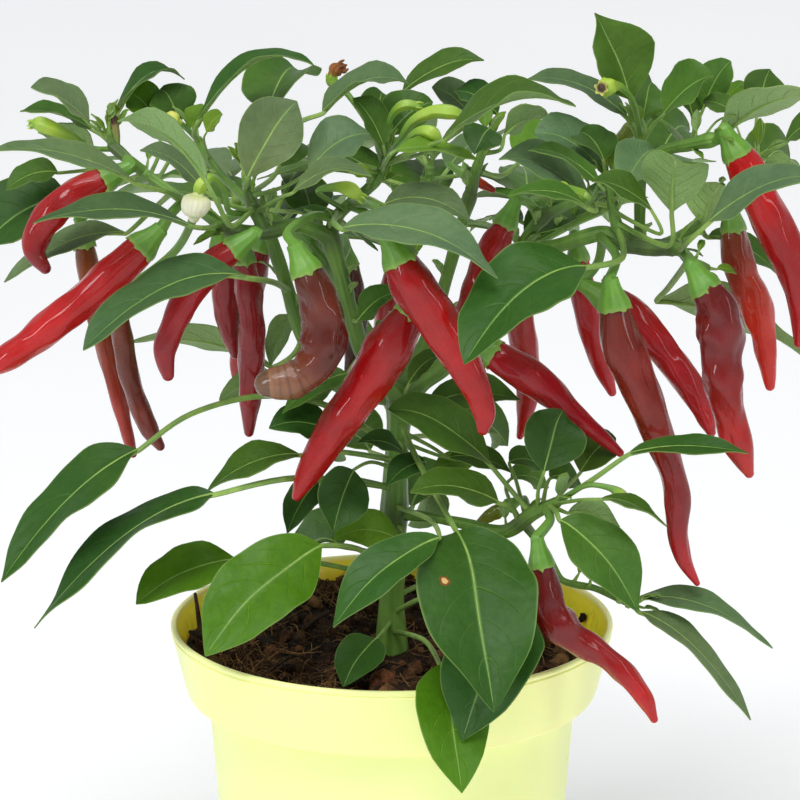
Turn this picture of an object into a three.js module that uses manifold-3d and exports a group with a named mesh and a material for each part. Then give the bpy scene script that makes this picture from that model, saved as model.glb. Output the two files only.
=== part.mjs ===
// Potted chilli pepper plant: a round plastic pot filled with soil, and one branching plant
// with waved leaves, hanging peppers in green cups, buds and dried flowers.
// Millimetres, +Z up, +Y away from the viewer. The pot's axis is Z and its base rests on z = 0.
import * as THREE from "three";
import Module from "manifold-3d";

const wasm = await Module();
wasm.setup();
const DEG = Math.PI / 180;

// ---- Pot and soil ----
const POT_HEIGHT = 119;
const RIM_RADIUS = 65;
const COLLAR_HEIGHT = 21;
const COLLAR_LOW_RADIUS = 60.3;
const BODY_TOP_RADIUS = 54.7;
const BASE_RADIUS = 47.4;
const POT_WALL = 1.8;
const POT_FLOOR = 2.6;
const LIP = 0.9;
const POT_SEGMENTS = 36;
const SOIL_SEGMENTS = 24;
const SOIL_EDGE_Z = 107.5;
const SOIL_MIDDLE_Z = 108.8;
const SOIL_BOTTOM_Z = 2.9;
const GAP = 0.3;
const SMOOTHING = 0.02;
const STEM_FOOT_Z = 84;

// ---- Plant ----
const BLADE_THICKNESS = 0.7;
const BLADE_FOLD = 0.2;
const BLADE_WAVE = 0.055;
const CLEARANCE = 0.4;
const OWN_SHARE = 1e-3;
const CUP_LENGTH = 7;
const CUP_WALL = 0.95;
const PEPPER_IN_CUP = 3;
const STALK_RADIUS = 0.85;
const PX_PER_MM = 3.45;
const PEPPER_SIDES = 6;
const LONG_LEAF = 52;
const SMALL_LEAF = 21.5;

// ---- How the places are named: as seen in the photo, with a distance away from the viewer ----
const AIM_X = 2.4;
const AIM_Z = 185;
const PITCH = 14 * DEG;
const VIEW_DISTANCE = 850;
const FOCAL_PX = 2940;
const CENTRE_PX = 400;
const LOOK_DOWN = Math.sin(PITCH);
const LOOK_ALONG = Math.cos(PITCH);
const VIEWER = new THREE.Vector3(AIM_X, -VIEW_DISTANCE * LOOK_ALONG, AIM_Z + VIEW_DISTANCE * LOOK_DOWN);
const SCREEN_UP = new THREE.Vector3(0, LOOK_DOWN, LOOK_ALONG);
const UP = new THREE.Vector3(0, 0, 1);

function seen(px, py, away) {
  const rise = (CENTRE_PX - py) / FOCAL_PX;
  const reach = rise * (VIEW_DISTANCE + away * LOOK_ALONG) - away * LOOK_DOWN;
  const dz = reach / (LOOK_ALONG + rise * LOOK_DOWN);
  const depth = VIEW_DISTANCE + away * LOOK_ALONG - dz * LOOK_DOWN;
  return new THREE.Vector3(AIM_X + ((px - CENTRE_PX) / FOCAL_PX) * depth, away, AIM_Z + dz);
}

// ---- Stems: [name, node, radii in mm, points as px, py, away] ----
const STEMS = [
  ["trunk", "main_stem", [4.3, 4.2, 3.8, 3.6, 3.5, 3.5],
    [[392, 735, 0], [392, 652, 0], [392, 600, 0], [394, 540, 0], [396, 470, 0], [401, 398, 0]]],
  ["branch_a", "main_stem", [3.2, 2.8, 2.6, 2.4, 2.3, 2.3, 2.5],
    [[401, 398, 0], [381, 374, -3], [363, 353, -5], [350, 310, -8], [345, 290, -9], [336, 258, -10],
      [330, 238, -10]]],
  ["branch_a2", "main_stem", [2.3, 2.1, 1.9, 1.8],
    [[330, 238, -10], [300, 225, -14], [265, 232, -18], [230, 231, -20]]],
  ["branch_b", "main_stem", [2.6, 2.2, 2.1, 2, 2, 1.9, 1.9],
    [[401, 398, 0], [365, 394, 5], [330, 380, 8], [303, 338, 6], [288, 290, 2], [275, 250, -1],
      [266, 222, -2]]],
  ["branch_c", "main_stem", [3.2, 2.8, 2.6, 2.5, 2.4, 2.6],
    [[401, 398, 0], [422, 382, 1], [446, 364, 2], [480, 320, 3], [505, 290, 2], [518, 256, 0]]],
  ["branch_c2", "main_stem", [2.4, 2.1, 2.1, 2.3, 2, 2.1],
    [[518, 256, 0], [560, 245, -8], [603, 233, -14], [628, 243, -16], [650, 247, -17], [672, 247, -18]]],
  ["branch_c4", "main_stem", [1.8, 1.7, 1.9],
    [[518, 253, 0], [533, 229, -2], [546, 214, -3]]],
  ["branch_d", "main_stem", [2.6, 2.3, 2.1, 1.9, 1.8, 1.7],
    [[401, 398, 0], [416, 365, 8], [430, 330, 12], [446, 280, 10], [460, 230, 8], [470, 196, 6]]],
  ["branch_back_left", "main_stem", [2.8, 2.4, 2.2, 2],
    [[401, 398, 0], [388, 372, 14], [362, 325, 32], [330, 270, 46]]],
  ["branch_back_middle", "main_stem", [2.6, 2.3, 2.1, 1.9],
    [[401, 398, 0], [404, 360, 18], [407, 310, 36], [410, 262, 48]]],
  ["branch_back_right", "main_stem", [2.8, 2.4, 2.2, 2],
    [[401, 398, 0], [420, 372, 14], [448, 330, 32], [480, 285, 46]]],
  ["far_left", "spray_far_left", [1.7, 1.6, 1.5, 1.4, 1.4],
    [[230, 231, -20], [205, 214, -20], [172, 192, -16], [142, 171, -12], [113, 146, -8]]],
  ["cut_stub", "spray_far_left", [1.3, 1.2, 1.1],
    [[116, 149, -8], [112, 141, -8], [109, 131, -8]]],
  ["left", "spray_left", [1.7, 1.6, 1.4, 1.3],
    [[265, 232, -18], [256, 212, -17], [248, 192, -14], [246, 172, -10]]],
  ["left_back", "spray_left", [1.3, 1.2, 1.1, 1],
    [[254, 206, -17], [236, 190, -6], [214, 166, 2], [197, 138, 6]]],
  ["middle_left", "spray_middle_left", [1.9, 1.8, 1.7, 1.6, 1.5],
    [[330, 238, -10], [337, 216, -8], [357, 198, -6], [376, 180, -4], [386, 158, -2]]],
  ["middle", "spray_middle", [1.6, 1.5, 1.4, 1.3],
    [[470, 196, 6], [474, 176, 5], [480, 158, 4], [486, 140, 4]]],
  ["middle_right", "spray_middle_right", [1.8, 1.7, 1.5, 1.4],
    [[546, 214, -3], [566, 204, -5], [586, 195, -6], [604, 182, -6]]],
  ["right", "spray_right", [1.7, 1.6, 1.5, 1.4],
    [[628, 243, -16], [618, 228, -18], [613, 206, -18], [610, 186, -16]]],
  ["top_right", "spray_top_right", [1.7, 1.6, 1.5, 1.5, 1.4],
    [[640, 246, -17], [640, 215, -9], [641, 182, -6], [642, 152, -5], [640, 134, -4]]],
  ["far_right_top", "spray_far_right_top", [1.5, 1.6, 1.9, 2.2],
    [[641, 166, -6], [664, 151, -13], [692, 144, -20], [712, 140, -24]]],
  ["far_right", "spray_far_right", [1.6, 1.5, 1.4, 1.3],
    [[660, 247, -17], [700, 224, -4], [730, 190, 4], [757, 157, 6]]],
  ["far_right_low", "spray_far_right_low", [1.7, 1.6, 1.6, 1.4],
    [[672, 247, -18], [682, 252, -24], [692, 262, -26], [706, 268, -20]]],
  ["low_shoot", "low_shoot", [1.6, 1.5, 1.6, 1.9, 1.9, 1.7],
    [[397, 514, 0], [430, 517, -8], [472, 525, -18], [507, 531, -28], [532, 514, -36], [556, 503, -40]]],
  ["low_twig", "low_shoot", [1.2, 1.1, 1, 1, 1],
    [[522, 521, -33], [546, 552, -26], [562, 580, -28], [594, 588, -34], [632, 605, -40]]],
  ["back_left", "spray_back_left", [1.8, 1.7, 1.5, 1.3],
    [[330, 270, 46], [303, 238, 54], [268, 216, 56], [236, 200, 52]]],
  ["back_middle", "spray_back_middle", [1.7, 1.6, 1.5, 1.3],
    [[410, 262, 48], [416, 228, 56], [426, 196, 62], [430, 168, 62]]],
  ["back_right", "spray_back_right", [1.8, 1.7, 1.5, 1.3],
    [[480, 285, 46], [520, 252, 56], [566, 226, 58], [612, 206, 54]]],
];

// ---- Peppers: [name, node of the cup, [px, py, radius px] down the middle, away at both ends,
//      where the stalk leaves the stem, points of the stalk] ----
const PEPPERS = [
  ["pepper_01", "spray_far_left", [[108, 178, 13], [85, 190, 15], [58, 207, 15], [39, 231, 14],
    [35, 252, 11], [45, 268, 6]], -20, -26, [142, 171], [[128, 160, -16]]],
  ["pepper_02", "spray_far_left", [[143, 246, 16], [118, 270, 18], [88, 296, 17], [57, 321, 16],
    [28, 344, 14], [2, 361, 12], [-26, 377, 5]], -30, -38, [184, 200], [[172, 213, -26]]],
  ["pepper_03", "spray_far_left", [[84, 242, 11], [92, 290, 12], [105, 345, 10], [117, 392, 9],
    [127, 433, 7], [133, 454, 4]], 12, 12, [150, 176], [[112, 200, 6]]],
  ["pepper_04", "spray_far_left", [[119, 306, 9], [122, 335, 10], [128, 370, 10], [139, 405, 10],
    [150, 430, 9], [160, 446, 5]], -8, -8, [196, 207], [[176, 250, -6], [132, 284, -6]]],
  ["pepper_05", "main_stem", [[236, 248, 13], [215, 264, 14], [193, 289, 14], [176, 320, 13],
    [165, 350, 11], [168, 375, 6]], -32, -36, [247, 232], [[246, 236, -27]]],
  ["pepper_06", "spray_left", [[222, 246, 13], [225, 268, 15], [227, 300, 14], [230, 328, 12],
    [235, 354, 5]], -2, 2, [254, 206], [[238, 214, -8]]],
  ["pepper_07", "main_stem", [[243, 258, 12], [248, 290, 13], [252, 330, 13], [251, 370, 12],
    [250, 405, 10], [249, 432, 5]], -14, -12, [244, 232], [[243, 238, -17]]],
  ["pepper_08", "spray_middle_left", [[305, 268, 16], [318, 297, 19], [324, 325, 20], [322, 352, 20],
    [308, 372, 19], [290, 381, 18], [268, 384, 13]], -42, -46, [337, 218], [[312, 216, -22], [288, 232, -36]]],
  ["pepper_09", "main_stem", [[347, 262, 11], [352, 290, 12], [356, 325, 11], [352, 352, 8],
    [348, 370, 4]], 6, 8, [339, 266], [[346, 248, 0]]],
  ["pepper_10", "spray_middle_left", [[412, 312, 17], [392, 342, 22], [372, 375, 22], [350, 408, 20],
    [328, 440, 17], [308, 474, 12], [297, 496, 5]], -32, -36, [350, 204], [[384, 224, -16], [412, 262, -26]]],
  ["pepper_11", "spray_middle_left", [[399, 258, 18], [415, 288, 21], [438, 320, 20], [460, 355, 18],
    [476, 388, 14], [484, 412, 11], [483, 429, 6]], -48, -52, [352, 202], [[376, 208, -32]]],
  ["pepper_12", "main_stem", [[506, 222, 12], [492, 252, 15], [478, 285, 14], [467, 315, 12],
    [458, 340, 6]], -14, -18, [540, 220], [[530, 204, -8]]],
  ["pepper_13", "main_stem", [[490, 352, 15], [515, 368, 18], [545, 388, 15], [572, 413, 11],
    [598, 434, 8], [620, 453, 4]], -26, -32, [480, 320], [[485, 334, -16]]],
  ["pepper_14", "main_stem", [[614, 304, 16], [620, 340, 19], [633, 372, 19], [647, 405, 17],
    [660, 440, 15], [673, 475, 12], [678, 505, 11], [678, 535, 10], [684, 560, 8], [697, 583, 3]],
    -44, -46, [598, 234], [[616, 256, -30]]],
  ["pepper_15", "main_stem", [[602, 296, 13], [625, 310, 16], [650, 336, 16], [672, 362, 15],
    [692, 390, 13], [705, 416, 10], [711, 432, 5]], -14, -22, [603, 233], [[598, 262, -10]]],
  ["pepper_16", "spray_far_right_low", [[704, 286, 16], [717, 308, 19], [721, 332, 20], [723, 362, 20],
    [725, 392, 18], [731, 422, 16], [741, 452, 12], [749, 473, 5]], -42, -46, [684, 253], [[688, 258, -32]]],
  ["pepper_17", "spray_far_right", [[733, 226, 12], [736, 250, 15], [743, 275, 17], [754, 300, 17],
    [763, 330, 12], [767, 360, 10], [770, 386, 5]], -10, -12, [716, 206], [[726, 204, -4]]],
  ["pepper_18", "spray_far_right_top", [[736, 152, 15], [748, 174, 18], [761, 201, 19], [774, 228, 19],
    [788, 256, 17], [797, 285, 14], [801, 315, 11], [799, 343, 5]], -30, -34, [704, 142], [[719, 139, -26]]],
  ["pepper_19", "low_shoot", [[541, 562, 12], [546, 592, 15], [554, 617, 16], [573, 638, 15],
    [600, 653, 12], [626, 675, 11], [645, 700, 8], [654, 719, 4]], -54, -60, [545, 508], [[550, 520, -48]]],
  ["pepper_green_top", "spray_far_right_top", [[640, 122, 7], [630, 130, 8], [620, 142, 8], [611, 155, 6],
    [606, 165, 3]], 12, 12, [684, 146], [[672, 130, 2], [656, 118, 10]]],
  ["pepper_green_low", "low_shoot", [[510, 505, 6], [498, 511, 7], [486, 518, 6], [475, 527, 3]],
    -14, -12, [530, 515], [[526, 500, -26]]],
  ["pepper_orange_small", "spray_middle", [[462, 172, 4], [472, 178, 5], [482, 184, 5], [493, 190, 3]],
    16, 16, [472, 184], [[458, 172, 12]]],
  ["pepper_20", "spray_back_left", [[316, 262, 12], [315, 300, 15], [312, 340, 14], [307, 380, 12],
    [300, 410, 8], [298, 426, 4]], 58, 62, [310, 246], [[318, 238, 58]]],
  ["pepper_21", "spray_back_left", [[262, 246, 12], [252, 285, 14], [246, 325, 14], [240, 362, 11],
    [240, 392, 5]], 64, 66, [268, 216], [[266, 224, 64]]],
  ["pepper_22", "spray_back_middle", [[398, 258, 13], [392, 296, 16], [388, 335, 16], [386, 372, 13],
    [392, 405, 9], [400, 424, 4]], 66, 70, [416, 228], [[402, 230, 62]]],
  ["pepper_23", "spray_back_right", [[512, 282, 13], [520, 320, 16], [526, 355, 15], [528, 390, 12],
    [524, 420, 8], [520, 436, 4]], 66, 68, [522, 251], [[512, 252, 62]]],
  ["pepper_24", "spray_back_right", [[578, 256, 12], [584, 292, 14], [592, 330, 14], [602, 365, 11],
    [612, 392, 5]], 68, 66, [568, 225], [[574, 226, 66]]],
];

// ---- Buds and small green parts, fused to their spray: [name, node, where it leaves the stem,
//      [px, py, away, radius mm] along it] ----
const BUDS = [
  ["bud_far_left", "spray_far_left", [116, 149], [[92, 148, -8, 0.7], [72, 137, -10, 1.2],
    [54, 129, -12, 1.9], [40, 124, -12, 2.1], [32, 124, -12, 1]]],
  ["bud_a", "spray_middle_left", [386, 158], [[387, 132, -8, 0.6], [393, 114, -10, 1], [404, 105, -12, 1.5],
    [418, 106, -12, 1.2]]],
  ["bud_b", "spray_middle_left", [385, 160], [[398, 143, -14, 0.8], [412, 122, -18, 1.3],
    [432, 112, -20, 1.9], [450, 112, -22, 2], [465, 116, -22, 1]]],
  ["bud_c", "spray_middle_left", [383, 166], [[404, 143, -20, 0.8], [418, 132, -24, 1.3],
    [432, 133, -26, 2], [440, 144, -26, 1]]],
  ["bud_d", "spray_middle_left", [344, 209], [[318, 192, -24, 0.7], [336, 187, -28, 1.3],
    [350, 190, -30, 2.2], [361, 198, -30, 1.2]]],
  ["bud_e", "spray_middle_left", [381, 172], [[370, 172, -8, 1], [360, 170, -10, 2.1], [353, 168, -10, 1.2]]],
  ["bud_f", "spray_middle_right", [600, 186], [[592, 199, -38, 0.7], [582, 194, -40, 1.5],
    [564, 187, -42, 1]]],
  ["open_cup", "spray_top_right", [641, 142], [[634, 104, -12, 0.7], [622, 88, -16, 1],
    [614, 86, -18, 1.6], [607, 87, -22, 2.7]]],
  ["bud_low", "low_shoot", [556, 504], [[572, 492, -46, 0.6], [590, 485, -50, 0.7], [610, 488, -52, 0.9],
    [620, 494, -52, 1.6], [628, 499, -52, 1]]],
  ["bud_left_pedicel", "spray_left", [256, 212], [[230, 212, -26, 0.8], [224, 190, -30, 0.9],
    [212, 178, -34, 1.2], [202, 184, -36, 1.8], [199, 191, -36, 1.6]]],
  ["bud_yellow_pedicel", "spray_left", [200, 144], [[190, 132, 4, 0.7], [181.5, 123.6, 1, 0.8]]],
  ["dried_pedicel", "spray_middle_left", [386, 158], [[366, 120, 6, 0.8], [346, 92, 10, 0.9],
    [333, 82, 10, 1.6], [332, 78, 10, 1.5]]],
];

// ---- Petals and dried flowers, each its own piece: [name, [px, py, away, radius mm] along it] ----
const FLOWERS = [
  ["white_flower_bud", [[198, 195, -36, 2.6], [197, 200, -36, 3.8], [195, 208, -36, 4], [194, 217, -36, 2.4]]],
  ["yellow_flower_bud", [[179, 122, 0, 1.6], [175, 121, 0, 2.4], [168, 119, 0, 2.5], [164, 117, 0, 1.4]]],
  ["dried_flower", [[333, 73.5, 10, 1.5], [336, 70, 10, 2.2], [342, 67, 10, 1.2]]],
];

// ---- Leaves: [name, node, where the stalk leaves the stem, points of the stalk, base, tip,
//      width mm, lay, bow mm]. lay is how far the blade turns from facing the viewer towards the
//      sky, past 90 it shows its pale underside. bow raises the middle of the midrib. ----
const LEAVES = [
  ["l01", "main_stem", [396, 452], [[330, 407, -16], [263, 396, -24], [191, 414, -34]],
    [138, 449, -40], [1, 582, -52], 22, 48, 5],
  ["l02", "main_stem", [395, 484], [[298, 478, -34]], [215, 493, -46], [34, 628, -60], 20, 52, 7],
  ["l03", "main_stem", [396, 462], [[340, 452, -30]], [300, 454, -40], [207, 491, -46], 14, 56, 3],
  ["l04", "main_stem", [393, 582], [[300, 560, -16]], [237, 559, -28], [136, 604, -38], 17, 40, 3],
  ["l05", "main_stem", [393, 570], [[358, 549, -18]], [322, 545, -34], [205, 656, -60], 24, 22, 4],
  ["l06", "main_stem", [395, 508], [[430, 520, -18]], [440, 537, -32], [333, 627, -52], 15, 35, 4],
  ["l07", "main_stem", [395, 526], [[404, 532, -8]], [400, 540, -12], [333, 540, -16], 12, 30, 3],
  ["l08", "main_stem", [400, 418], [[413, 451, -12], [436, 495, -26]], [457, 531, -40], [494, 712, -80],
    33, 16, 8],
  ["l09", "main_stem", [392, 612], [[450, 590, -30]], [528, 604, -58], [462, 741, -76], 26, 24, 5],
  ["l10", "main_stem", [392, 628], [[424, 640, -36]], [440, 664, -60], [462, 793, -82], 21, 20, 5],
  ["l11", "main_stem", [392, 620], [[386, 628, -10]], [377, 638, -18], [343, 687, -38], 13, 15, 2],
  ["l21", "main_stem", [397, 440], [[360, 428, -12]], [330, 430, -20], [269, 428, -26], 13, 40, 2],
  ["l22", "main_stem", [365, 356], [[357, 362, -10]], [347, 373, -16], [282, 413, -22], 10, 45, 2],
  ["l22b", "main_stem", [363, 353], [[352, 366, -4]], [344, 378, -8], [297, 417, -10], 9, 50, 2],
  ["l23", "main_stem", [396, 470], [[372, 462, -10]], [354, 470, -18], [333, 532, -30], 16, 20, 2],
  ["l24", "main_stem", [395, 490], [[350, 478, -8]], [318, 482, -12], [287, 533, -20], 11, 30, 2],
  ["l25", "main_stem", [397, 448], [[416, 456, -8]], [426, 462, -16], [386, 487, -26], 9, 35, 2],
  ["l26", "main_stem", [398, 436], [[404, 446, -10]], [404, 453, -16], [358, 443, -22], 8, 50, 2],
  ["l27a", "main_stem", [398, 434], [[430, 446, -6]], [449, 457, -10], [511, 472, -14], 9, 45, 2],
  ["l27b", "main_stem", [397, 444], [[440, 456, 2]], [475, 464, 4], [432, 474, 0], 8, 40, 2],
  ["l28", "main_stem", [352, 318], [[355, 321, -12]], [357, 321, -15], [398, 293, -20], 10, 45, 2],
  ["l29", "main_stem", [404, 395], [[406, 390, -6]], [408, 384, -10], [441, 356, -16], 8, 45, 2],
  ["l30", "main_stem", [400, 412], [[412, 409, -8]], [425, 407, -14], [520, 400, -20], 14, 45, 3],
  ["l31", "main_stem", [399, 420], [[424, 402, -4]], [442, 399, -6], [470, 419, -8], 8, 45, 2],
  ["l32", "main_stem", [392, 600], [[420, 585, 14]], [452, 580, 28], [520, 608, 50], 20, 50, 5],
  ["l33", "main_stem", [393, 560], [[370, 552, 14]], [340, 545, 30], [290, 570, 62], 20, 40, 5],
  ["l34", "main_stem", [394, 530], [[402, 516, 18]], [412, 506, 36], [432, 520, 78], 22, 20, 6],
  ["l35", "main_stem", [396, 470], [[386, 458, 20]], [370, 450, 38], [330, 455, 76], 20, 30, 6],
  ["l36", "main_stem", [397, 440], [[420, 436, 18]], [450, 436, 34], [508, 446, 62], 20, 40, 6],
  ["u55", "main_stem", [288, 292], [[272, 282, -24]], [247, 276, -40], [83, 350, -58], 21, 56, 7],
  ["u56", "main_stem", [303, 338], [[292, 356, -2]], [272, 366, -6], [129, 342, -10], 15, 112, 4],
  ["u57", "main_stem", [310, 356], [[296, 368, 12]], [278, 380, 14], [219, 400, 12], 13, 125, 2],
  ["u58", "main_stem", [292, 300], [[292, 306, 12]], [290, 314, 16], [270, 367, 18], 9, 140, 2],

  ["u01", "spray_far_left", [114, 147], [[104, 134, -8]], [90, 123, -12], [31, 87, -18], 14, 58, 2],
  ["u02", "spray_far_left", [118, 151], [[102, 136, -2]], [92, 129, 0], [20, 111, -4], 12, 66, 2],
  ["u03", "spray_far_left", [124, 156], [[106, 158, 2]], [97, 155, 4], [38, 132, 6], 16, 116, 2],
  ["u04", "spray_far_left", [188, 203], [[166, 192, -30]], [138, 183, -36], [-8, 150, -48], 17, 60, 5],
  ["u05", "spray_far_left", [132, 163], [[88, 170, 2]], [58, 172, -4], [6, 190, -8], 11, 52, 2],
  ["u06", "spray_far_left", [146, 174], [[100, 190, 2]], [68, 198, 2], [-22, 252, -6], 24, 42, 4],
  ["u07", "spray_far_left", [220, 225], [[208, 228, -34]], [191, 225, -42], [33, 223, -56], 17, 56, 6],
  ["u08", "spray_far_left", [172, 193], [[150, 212, -6]], [126, 232, -12], [4, 282, -16], 14, 58, 4],
  ["u09", "spray_far_left", [113, 146], [[110, 132, 2]], [113, 118, 6], [185, 79, 16], 17, 58, 7],
  ["u10", "spray_far_left", [150, 176], [[160, 150, 2]], [158, 122, 10], [123, 91, 12], 13, 38, 2],
  ["u11", "spray_far_left", [156, 180], [[174, 150, 10]], [180, 122, 18], [160, 89, 22], 15, 35, 2],

  ["u12", "spray_left", [254, 208], [[232, 226, -32], [218, 204, -44]], [207, 180, -46], [117, 121, -50],
    20, 124, 5],
  ["u13", "spray_left", [256, 212], [[232, 206, -26]], [202, 188, -28], [140, 150, -32], 12, 58, 3],
  ["u14", "spray_left", [198, 142], [[194, 134, 2]], [196, 122, -2], [314, 65, -10], 20, 60, 9],
  ["u15", "spray_left", [246, 174], [[256, 140, -2]], [268, 110, 2], [294, 67, 36], 27, 2, 3],
  ["u16", "spray_left", [247, 184], [[245, 188, -20]], [247, 178, -28], [297, 101, -22], 18, 14, 2],
  ["u17", "spray_left", [204, 152], [[196, 138, 10]], [192, 128, 12], [203, 104, 14], 8, 50, 1],
  ["u17b", "spray_left", [210, 160], [[204, 140, -6]], [206, 132, -8], [222, 114, -10], 7, 50, 1],
  ["u18", "spray_left", [246, 176], [[271, 143, -14], [300, 122, -12]], [322, 112, -10], [409, 84, -4],
    18, 62, 5],
  ["u20", "spray_left", [250, 198], [[286, 186, -20]], [309, 170, -26], [370, 134, -20], 17, 48, 3],
  ["u21", "spray_left", [256, 212], [[280, 198, -28]], [292, 192, -34], [372, 176, -42], 14, 64, 4],
  ["u59", "spray_left", [249, 194], [[270, 180, 6]], [280, 166, 14], [292, 130, 40], 16, 20, 3],

  ["u19", "spray_middle_left", [386, 158], [[392, 120, 12]], [402, 92, 16], [484, 60, 12], 15, 42, 3],
  ["u22", "spray_middle_left", [385, 162], [[386, 158, -12]], [384, 146, -16], [353, 98, -12], 12, 50, 2],
  ["u23", "spray_middle_left", [386, 160], [[388, 146, 2]], [389, 136, 4], [433, 102, 10], 15, 30, 2],
  ["u23b", "spray_middle_left", [384, 164], [[376, 144, 10]], [376, 128, 14], [382, 92, 22], 12, 20, 2],
  ["u24", "spray_middle_left", [384, 164], [[430, 150, 16]], [474, 120, 20], [432, 87, 20], 13, 40, 2],
  ["u26", "spray_middle_left", [384, 166], [[416, 150, -24]], [442, 139, -32], [576, 106, -44], 21, 62, 6],
  ["u28", "spray_middle_left", [382, 170], [[388, 158, -28]], [394, 150, -30], [478, 160, -30], 9, 66, 2],
  ["u29", "spray_middle_left", [360, 196], [[372, 200, -18]], [384, 204, -26], [471, 222, -36], 15, 52, 4],
  ["u30", "spray_middle_left", [338, 214], [[334, 222, -32]], [342, 228, -42], [498, 278, -62], 24, 56, 8],

  ["u25", "spray_middle", [485, 143], [[496, 128, 8]], [498, 114, 10], [453, 91, 14], 13, 55, 2],
  ["u27", "spray_middle", [483, 150], [[488, 134, 0]], [490, 128, -2], [474, 154, -8], 12, 20, 1],
  ["u60", "spray_middle", [482, 152], [[500, 150, 2]], [504, 134, 6], [549, 117, 12], 12, 120, 2],
  ["u61", "spray_middle", [476, 170], [[500, 176, 18]], [520, 160, 30], [560, 130, 50], 16, 40, 3],

  ["u32", "spray_middle_right", [590, 192], [[596, 200, -20]], [590, 202, -28], [499, 159, -38], 20, 58, 4],
  ["u33", "spray_middle_right", [584, 196], [[596, 210, -34]], [590, 208, -42], [507, 196, -50], 12, 62, 3],
  ["u34", "spray_middle_right", [603, 183], [[604, 176, -8]], [602, 168, -10], [534, 133, -6], 18, 48, 3],
  ["u34b", "spray_middle_right", [598, 187], [[604, 190, -18]], [600, 184, -22], [528, 150, -24], 9, 64, 3],
  ["u62", "spray_middle_right", [566, 204], [[572, 190, 14]], [582, 176, 26], [606, 148, 56], 18, 28, 3],

  ["u31", "spray_right", [618, 228], [[622, 258, -38]], [586, 266, -50], [464, 364, -72], 28, 46, 7],
  ["u48", "spray_right", [616, 222], [[668, 246, -34]], [672, 212, -38], [676, 158, -56], 21, 176, 3],
  ["u49", "spray_right", [612, 200], [[620, 196, -22]], [624, 187, -24], [654, 149, -8], 14, 18, 2],
  ["u50", "spray_right", [614, 212], [[660, 234, -40]], [652, 209, -46], [592, 181, -52], 12, 60, 2],
  ["u63", "spray_right", [611, 194], [[606, 176, -2]], [604, 160, 6], [580, 132, 20], 13, 40, 2],

  ["u35", "spray_top_right", [641, 146], [[634, 130, 0]], [628, 117, 0], [527, 79, -6], 16, 60, 4],
  ["u36", "spray_top_right", [641, 140], [[636, 116, -10]], [631, 100, -14], [595, 13, -16], 23, 20, 2],
  ["u37", "spray_top_right", [642, 150], [[646, 132, 4]], [643, 118, 8], [652, 82, 20], 14, 20, 2],
  ["u38", "spray_top_right", [641, 144], [[654, 124, -10]], [664, 113, -14], [714, 75, -18], 17, 44, 2],
  ["u64", "spray_top_right", [641, 182], [[652, 170, 12]], [660, 156, 24], [690, 130, 52], 18, 24, 4],

  ["u39", "spray_far_right_top", [692, 144], [[696, 126, -6]], [703, 108, -4], [731, 61, -2], 13, 35, 2],
  ["u40", "spray_far_right_top", [690, 144], [[694, 130, -12]], [693, 116, -12], [676, 84, -4], 15, 35, 2],
  ["u41", "spray_far_right_top", [700, 143], [[716, 122, -18]], [734, 113, -20], [703, 101, -14], 9, 50, 1],

  ["u42", "spray_far_right", [756, 158], [[756, 130, 10]], [758, 107, 12], [770, 69, 14], 13, 18, 1],
  ["u43", "spray_far_right", [750, 166], [[738, 130, 16]], [724, 102, 20], [746, 83, 22], 6, 45, 1],
  ["u44", "spray_far_right", [752, 164], [[742, 146, -24]], [724, 134, -44], [818, 98, -62], 17, 118, 4],
  ["u45", "spray_far_right", [757, 158], [[775, 148, 0]], [786, 142, -2], [822, 124, -8], 11, 60, 2],
  ["u46", "spray_far_right", [756, 158], [[764, 158, 4]], [768, 158, 4], [786, 178, 4], 8, 150, 1],
  ["u51", "spray_far_right", [712, 212], [[704, 226, -8]], [702, 224, -10], [722, 184, -12], 15, 145, 2],
  ["u52", "spray_far_right", [704, 221], [[702, 230, -2]], [708, 236, -2], [780, 276, 0], 11, 58, 3],
  ["u65", "spray_far_right", [730, 190], [[746, 180, 20]], [760, 170, 34], [790, 160, 62], 18, 30, 4],

  ["u47", "spray_far_right_low", [680, 251], [[688, 242, -40]], [708, 222, -48], [818, 176, -66], 20, 56, 5],
  ["u53", "spray_far_right_low", [690, 260], [[668, 288, -6]], [656, 300, 0], [810, 360, -8], 23, 116, 4],

  ["l12", "low_shoot", [550, 506], [[556, 512, -48]], [560, 520, -52], [638, 612, -64], 18, 30, 4],
  ["l13a", "low_shoot", [622, 601], [[628, 600, -40]], [636, 598, -42], [773, 648, -52], 14, 60, 5],
  ["l13b", "low_shoot", [628, 604], [[634, 606, -44]], [640, 611, -46], [751, 720, -60], 15, 58, 5],
  ["l14", "low_shoot", [532, 514], [[516, 496, -30]], [492, 465, -26], [388, 409, -26], 16, 40, 4],
  ["l15", "low_shoot", [520, 523], [[512, 508, -34]], [499, 502, -38], [410, 492, -44], 15, 52, 3],
  ["l16", "low_shoot", [540, 510], [[538, 492, -38]], [544, 472, -38], [563, 410, -30], 18, 14, 2],
  ["l17", "low_shoot", [552, 505], [[566, 488, -38]], [580, 472, -36], [616, 438, -28], 14, 30, 2],
  ["l18", "low_shoot", [556, 504], [[592, 480, -48]], [628, 453, -52], [748, 453, -60], 16, 56, 4],
  ["l19", "low_shoot", [555, 504], [[580, 500, -54]], [601, 498, -58], [667, 526, -62], 11, 68, 2],
  ["l20", "low_shoot", [548, 507], [[560, 510, -42]], [568, 512, -42], [620, 527, -44], 9, 128, 2],
  ["l27c", "low_shoot", [526, 518], [[516, 480, -20]], [509, 462, -12], [545, 470, -6], 9, 40, 2],
  ["l27d", "low_shoot", [520, 523], [[506, 490, -16]], [511, 478, -10], [549, 488, 0], 9, 40, 2],
  ["l27e", "low_shoot", [544, 509], [[546, 488, -30]], [550, 478, -26], [582, 488, -20], 9, 40, 2],
];

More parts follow.
